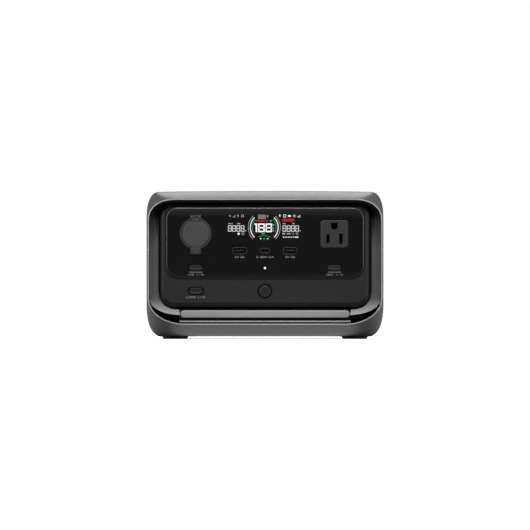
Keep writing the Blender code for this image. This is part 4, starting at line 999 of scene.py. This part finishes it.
def icon(kind, x, z, size):
    """A small plain pictogram: a bolt, rising bars, a box or a sun, and otherwise a battery."""
    s = size / 2
    if kind == "bolt":
        zigzag = ((0.3, 1), (0.05, 0.15), (0.6, 0.15), (-0.15, -1), (-0.02, -0.1), (-0.6, -0.1), (-0.1, 1))
        return [[(x + dx * s, z + dz * s) for dx, dz in zigzag]]
    if kind == "bars":
        return [rounded(0.3 * s, rise * s, 0.05, (x + dx * s, z - s + rise / 2 * s), 1)
                for dx, rise in ((-0.6, 0.6), (0.0, 1.1), (0.6, 1.6))]
    if kind == "box":
        return [rounded(1.8 * s, 0.28 * s, 0.05, (x, z + dz * 0.8 * s), 1) for dz in (-1, 1)] + \
               [rounded(0.28 * s, 1.2 * s, 0.05, (x + dx * 0.76 * s, z), 1) for dx in (-1, 1)]
    if kind == "sun":
        rays = [circle(0.14 * s, spot, 8) for spot in circle(0.85 * s, (x, z), 6)]
        return [circle(0.42 * s, (x, z), 16)] + rays
    return [rounded(1.7 * s, 1.1 * s, 0.2 * s, (x - 0.1 * s, z), 3),
            rounded(0.2 * s, 0.5 * s, 0.03, (x + 0.95 * s, z), 1)]


# Marks of the display in mm. Icons: colour, kind, place across and up, size. Dots: colour, place, radius.
ICONS = (("pale", "sun", -34.5, 121.6, 2.6), ("pale", "bars", -30.5, 121.6, 2.8),
         ("pale", "bolt", -26.6, 121.6, 2.9), ("pale", "box", -22.2, 121.6, 2.7),
         ("white", "bolt", 14.6, 121.6, 3.0), ("white", "box", 19.4, 121.6, 3.0),
         ("white", "battery", 24.2, 121.6, 3.0), ("white", "sun", 29.0, 121.6, 3.0),
         ("white", "bars", 33.4, 121.6, 3.0), ("pale", "box", -21.7, 104.0, 2.6),
         ("pale", "sun", 27.7, 104.1, 2.4), ("pale", "box", 31.5, 104.1, 2.4))
DOTS = (("white", -26.0, 104.0, 1.1), ("green", 8.4, 112.8, 0.75), ("green", -0.8, 99.2, 0.62),
        ("white", -4.3, 99.2, 0.62), ("white", 2.8, 99.2, 0.62))
# Fine print: colour, left and right ends, place up, height, and the strokes in each word.
FINE_PRINT = (("pale", 2.0, 4.8, 121.4, 2.2, (2,)), ("pale", -36.2, -30.0, 114.0, 1.2, (3, 2)),
              ("pale", -27.6, -20.6, 114.0, 1.2, (4,)), ("pale", 17.4, 24.4, 114.0, 1.2, (4,)),
              ("pale", 27.0, 33.4, 114.0, 1.2, (3,)), ("pale", 17.2, 20.6, 104.1, 1.8, (2,)),
              ("pale", 21.6, 25.6, 104.1, 1.8, (3,)), ("white", 30.2, 33.4, 100.7, 1.4, (3,)),
              ("red", -8.4, 5.2, 116.8, 1.9, (6, 2)), ("green", -3.4, 2.2, 104.1, 1.2, (4,)))
GAUGE = (-0.7, 110.2)


def gauge_arcs(y):
    """Arcs on both sides of the middle number, and a fan of dashes under it, by colour."""
    arcs = {"white": [], "pale": [], "green": [], "red": []}
    for side, rising in ((0.0, 1.0), (180.0, -1.0)):
        arcs["white"].append(ring_mark(GAUGE, 14.1, 13.35, y, 0.05, 30, side - 45.0, side + 45.0))
        arcs["pale"].append(ring_mark(GAUGE, 16.0, 15.6, y, 0.05, 30, side - 46.0, side + 46.0))
        for i in range(12):
            start = side + rising * (-40.0 + i * 7.0)
            ends = sorted((start, start + rising * 4.6))
            arcs["red" if i < 3 else "green"].append(ring_mark(GAUGE, 11.85, 11.45, y, 0.05, 3, *ends))
    for start in [63.0 + i * 7.9 for i in range(7)]:
        arcs["green"].append(ring_mark((GAUGE[0], 89.0), 13.4, 13.05, y, 0.05, 3, start, start + 5.0))
    return arcs


def make_display():
    y = FACE_Y / MM - 0.05
    marks = {"red": [], "green": []}
    marks["white"] = eight(-3.5, 109.9, 6.5, 8.6, 1.35) + eight(3.75, 109.9, 6.5, 8.6, 1.35)
    marks["white"] += [rounded(1.5, 8.6, 0.3, (-8.45, 109.9), 2), rounded(1.5, 1.5, 0.3, (-9.725, 113.45), 2)]
    marks["white"] += eights(4, -36.8, -20.0, 109.2, 5.9, 0.44) + eights(4, 17.0, 33.8, 109.2, 5.9, 0.44)
    for left in [17.6 + i * 1.62 for i in range(8)]:
        marks["white"].append([(left, 100.2), (left + 0.7, 100.2), (left + 1.05, 101.2), (left + 0.35, 101.2)])
    marks["pale"] = eights(3, -6.9, 1.0, 120.8, 3.9, 0.40)
    for spot in ((8.4, 109.4), (8.4, 106.8), (-18.9, 106.9), (34.6, 106.9)):
        marks["pale"].append(rounded(0.9, 1.0, 0.1, spot, 1))
    marks["alert"] = [rounded(11.9, 2.9, 0.4, (22.8, 117.5), 3)]
    marks["blue"] = [rounded(1.9, 1.3, 0.5, (5.8, 116.7), 4)]
    for colour, kind, x, z, size in ICONS:
        marks[colour] += icon(kind, x, z, size)
    for colour, x, z, radius in DOTS:
        marks[colour].append(circle(radius, (x, z), 16))
    for colour, *place in FINE_PRINT:
        marks[colour] += small_marks(*place)
    arcs = gauge_arcs(y)
    lights = {"white": WHITE_LIGHT, "pale": PALE_LIGHT, "green": GREEN_LIGHT, "red": RED_LIGHT,
              "alert": DEEP_RED_LIGHT, "blue": BLUE_LIGHT}
    for colour, light in lights.items():
        mesh = merged([joined_prisms(marks[colour], y, y + 0.05)] + arcs.get(colour, []), "display")
        piece("display_" + colour, mesh, light)


LABEL_HEIGHT = 2.05
SMALL_LABEL = 1.75
CAP_SHARE = 0.73


def text_mesh(words, at, y, height=LABEL_HEIGHT, width=None):
    """Printed characters, their capitals this high in mm, centred on the spot."""
    curve = bpy.data.curves.new("words", "FONT")
    curve.body = words
    curve.size = height / CAP_SHARE * MM
    curve.align_x = "CENTER"
    curve.align_y = "CENTER"
    curve.extrude = 0.02 * MM
    curve.resolution_u = 4
    holder = placed("words", curve)
    bpy.context.view_layer.update()
    mesh = bpy.data.meshes.new_from_object(holder.evaluated_get(bpy.context.evaluated_depsgraph_get()))
    bpy.data.objects.remove(holder)
    span = max(v.co.x for v in mesh.vertices) - min(v.co.x for v in mesh.vertices)
    stretch = width * MM / span if width else 1.0
    spot = Matrix.Translation((at[0] * MM, y * MM, at[1] * MM))
    mesh.transform(spot @ Matrix.Rotation(QUARTER, 4, "X") @ Matrix.Scale(stretch, 4, (1.0, 0.0, 0.0)))
    return mesh


def make_labels():
    """Plain ratings and switch signs beside the controls and ports."""
    y = FACE_Y / MM - 0.02
    panel_y = low("front_panel").y / MM - 0.02
    plates = (("usb_a_port_left", "5V 2A", 80.9, LABEL_HEIGHT, 9.6),
              ("usb_a_port_right", "5V 2A", 80.9, LABEL_HEIGHT, 9.6),
              ("usb_c_port", "5-20V 5A", 80.9, LABEL_HEIGHT, 17.5),
              ("dc_button", "12V  I / O", 63.6, SMALL_LABEL, 15.5),
              ("ac_button", "120V  I / O", 63.6, SMALL_LABEL, 16.5))
    words = [text_mesh(text, (place_of(node)[0], z), y, tall, wide) for node, text, z, tall, wide in plates]
    piece("fascia_labels", merged(words, "fascia_labels"), INK)
    lamp = text_mesh("LAMP  I / O", (place_of("light_button")[0], 41.2), panel_y, width=18.5)
    piece("panel_labels", merged([lamp], "panel_labels"), INK)


# Rear

def make_rear():
    refined("rear_panel", REAR_PLASTIC, 0.30)
    refined("input_cover", REAR_PLASTIC, 0.45, segments=3, body="input_cover")
    for node in ("ac_inlet", "dc_inlet"):
        refined(node, BLACK)
    refined("carry_handle", BLACK, 0.0, 50.0)
    refined("handle_grip", RUBBER, 1.0, segments=3)
    for i in range(1, 5):
        refined(f"rear_screw_{i}", STEEL, 0.2, 50.0)
    for side in ("left", "right"):
        refined(f"fan_housing_{side}", BLACK, 0.3)
        refined(f"fan_rotor_{side}", BLACK, 0.2, body=f"fan_{side}")
        for row in ("front", "rear"):
            refined(f"foot_{row}_{side}", FOOT_RUBBER, 0.2, 50.0)


def dress_inside():
    steelwork = ["handle_screw_left", "handle_screw_right", "handle_bracket",
                 "cover_hinge_pin", "input_hinge_pin"]
    finishes = ((SCREEN, ["display_module"]), (BLACK, ["battery_tray"]), (FERRITE, ["transformer_core"]),
                (BOARD, ["front_board", "battery_board", "inverter_board", "light_board"]),
                (COPPER, ["transformer_coil"]), (ALUMINIUM, ["heat_sink_left", "heat_sink_right"]),
                (RUBBER, ["seam_gasket_left", "seam_gasket_right"]), (STEEL, steelwork),
                (CELL, [f"battery_cell_{i}" for i in range(1, 5)]))
    for material, nodes in finishes:
        for node in nodes:
            coat(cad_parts[node].data, material)


# Stage

def area_light(name, spot, target, size, power, shape="RECTANGLE"):
    lamp = bpy.data.lights.new(name, "AREA")
    lamp.shape = shape
    lamp.size, lamp.size_y = size
    lamp.energy = power
    obj = placed(name, lamp)
    obj.location = spot
    obj.rotation_euler = (Vector(target) - Vector(spot)).to_track_quat("-Z", "Y").to_euler()
    obj.visible_camera = False
    return obj


def make_stage():
    """A pale sheet. It looks brighter than the light that it throws back up at the station."""
    shape = bmesh.new()
    corners = ((-6.0, -14.0), (6.0, -14.0), (6.0, 6.0), (-6.0, 6.0))
    shape.faces.new([shape.verts.new((x, y, 0.0)) for x, y in corners])
    mesh = bpy.data.meshes.new("sheet")
    shape.to_mesh(mesh)
    shape.free()
    floor = placed("sheet", mesh)
    paper = Finish("paper")
    bright = [scaled(PAPER, PAPER_GAIN * by, 9.0) for by in (1.0, 1.02)]
    seen = paper.mix(paper.spread(paper.noise(300.0), 0.0, 1.0), *bright)
    in_view = paper.node("ShaderNodeLightPath").outputs["Is Camera Ray"]
    far = paper.node("ShaderNodeVectorMath", {0: paper.at}, operation="LENGTH").outputs["Value"]
    glow = paper.product(paper.spread(far, 0.62, 1.0, 0.20, 0.70), in_view)
    others = {"Emission Color": (1.0, 1.0, 1.0), "Emission Strength": glow, "Specular IOR Level": 0.0}
    mesh.materials.append(paper.paint(paper.mix(in_view, PAPER, seen), 0.9, others))


def make_world():
    """White behind the station; dim light from all round on it."""
    world = bpy.data.worlds.new("studio")
    bpy.context.scene.world = world
    world.use_nodes = True
    tree = world.node_tree
    sky = tree.nodes["Background"]
    path = tree.nodes.new("ShaderNodeLightPath")
    level = tree.nodes.new("ShaderNodeMapRange")
    level.inputs["To Min"].default_value = AMBIENT
    tree.links.new(path.outputs["Is Camera Ray"], level.inputs["Value"])
    tree.links.new(level.outputs["Result"], sky.inputs["Strength"])
    sky.inputs["Color"].default_value = (1.0, 1.0, 1.0, 1.0)


PAPER = (0.25, 0.25, 0.25)
PAPER_GAIN = 5.8
AMBIENT = 0.05
POWERS = {"back": 2.4, "top": 2.0, "high": 8.0, "wing": 2.6, "bounce": 0.048, "side": 3.4}


def make_lights():
    heart = (0.0, -0.06, 0.07)
    area_light("back", (0.0, 0.85, 0.80), heart, (0.50, 0.55), POWERS["back"])
    area_light("top", (0.0, -0.06, 0.90), heart, (0.40, 0.50), POWERS["top"])
    area_light("high", (0.0, -0.95, 1.15), heart, (0.70, 0.40), POWERS["high"])
    under = (0.0, -0.112, 0.0012)
    for width, share in ((0.170, 0.40), (0.184, 0.35), (0.196, 0.25)):
        area_light("bounce", under, (0.0, -0.112, 1.0), (width, 0.080), POWERS["bounce"] * share, "ELLIPSE")
    for side, name in ((-1.0, "left"), (1.0, "right")):
        rim = area_light(name, (side * 0.70, -0.05, 0.10), (0.0, -0.04, 0.07), (0.20, 0.30), POWERS["side"])
        rim.visible_glossy = False
        area_light("wing_" + name, (side * 0.95, -0.80, 0.25), heart, (0.22, 0.60), POWERS["wing"])


LENS = 800.0
SHOWN_WIDTH = 0.5226
CAMERA_Z = 0.0732


def make_camera():
    camera = bpy.data.cameras.new("camera")
    camera.sensor_width = 36.0
    camera.lens = LENS
    camera.clip_start = 0.05
    camera.clip_end = 50.0
    obj = placed("camera", camera)
    obj.location = (0.0, low("upper_shell").y - SHOWN_WIDTH * LENS / camera.sensor_width, CAMERA_Z)
    obj.rotation_euler = (QUARTER, 0.0, 0.0)
    bpy.context.scene.camera = obj


make_shells()
make_bezel()
make_panel()
make_fascia()
make_controls()
make_outlet()
make_ports()
make_car_socket()
make_cover()
make_light_bar()
make_display()
make_labels()
make_rear()
dress_inside()
make_stage()
make_world()
make_lights()
make_camera()
bpy.context.scene.view_settings.view_transform = "Standard"
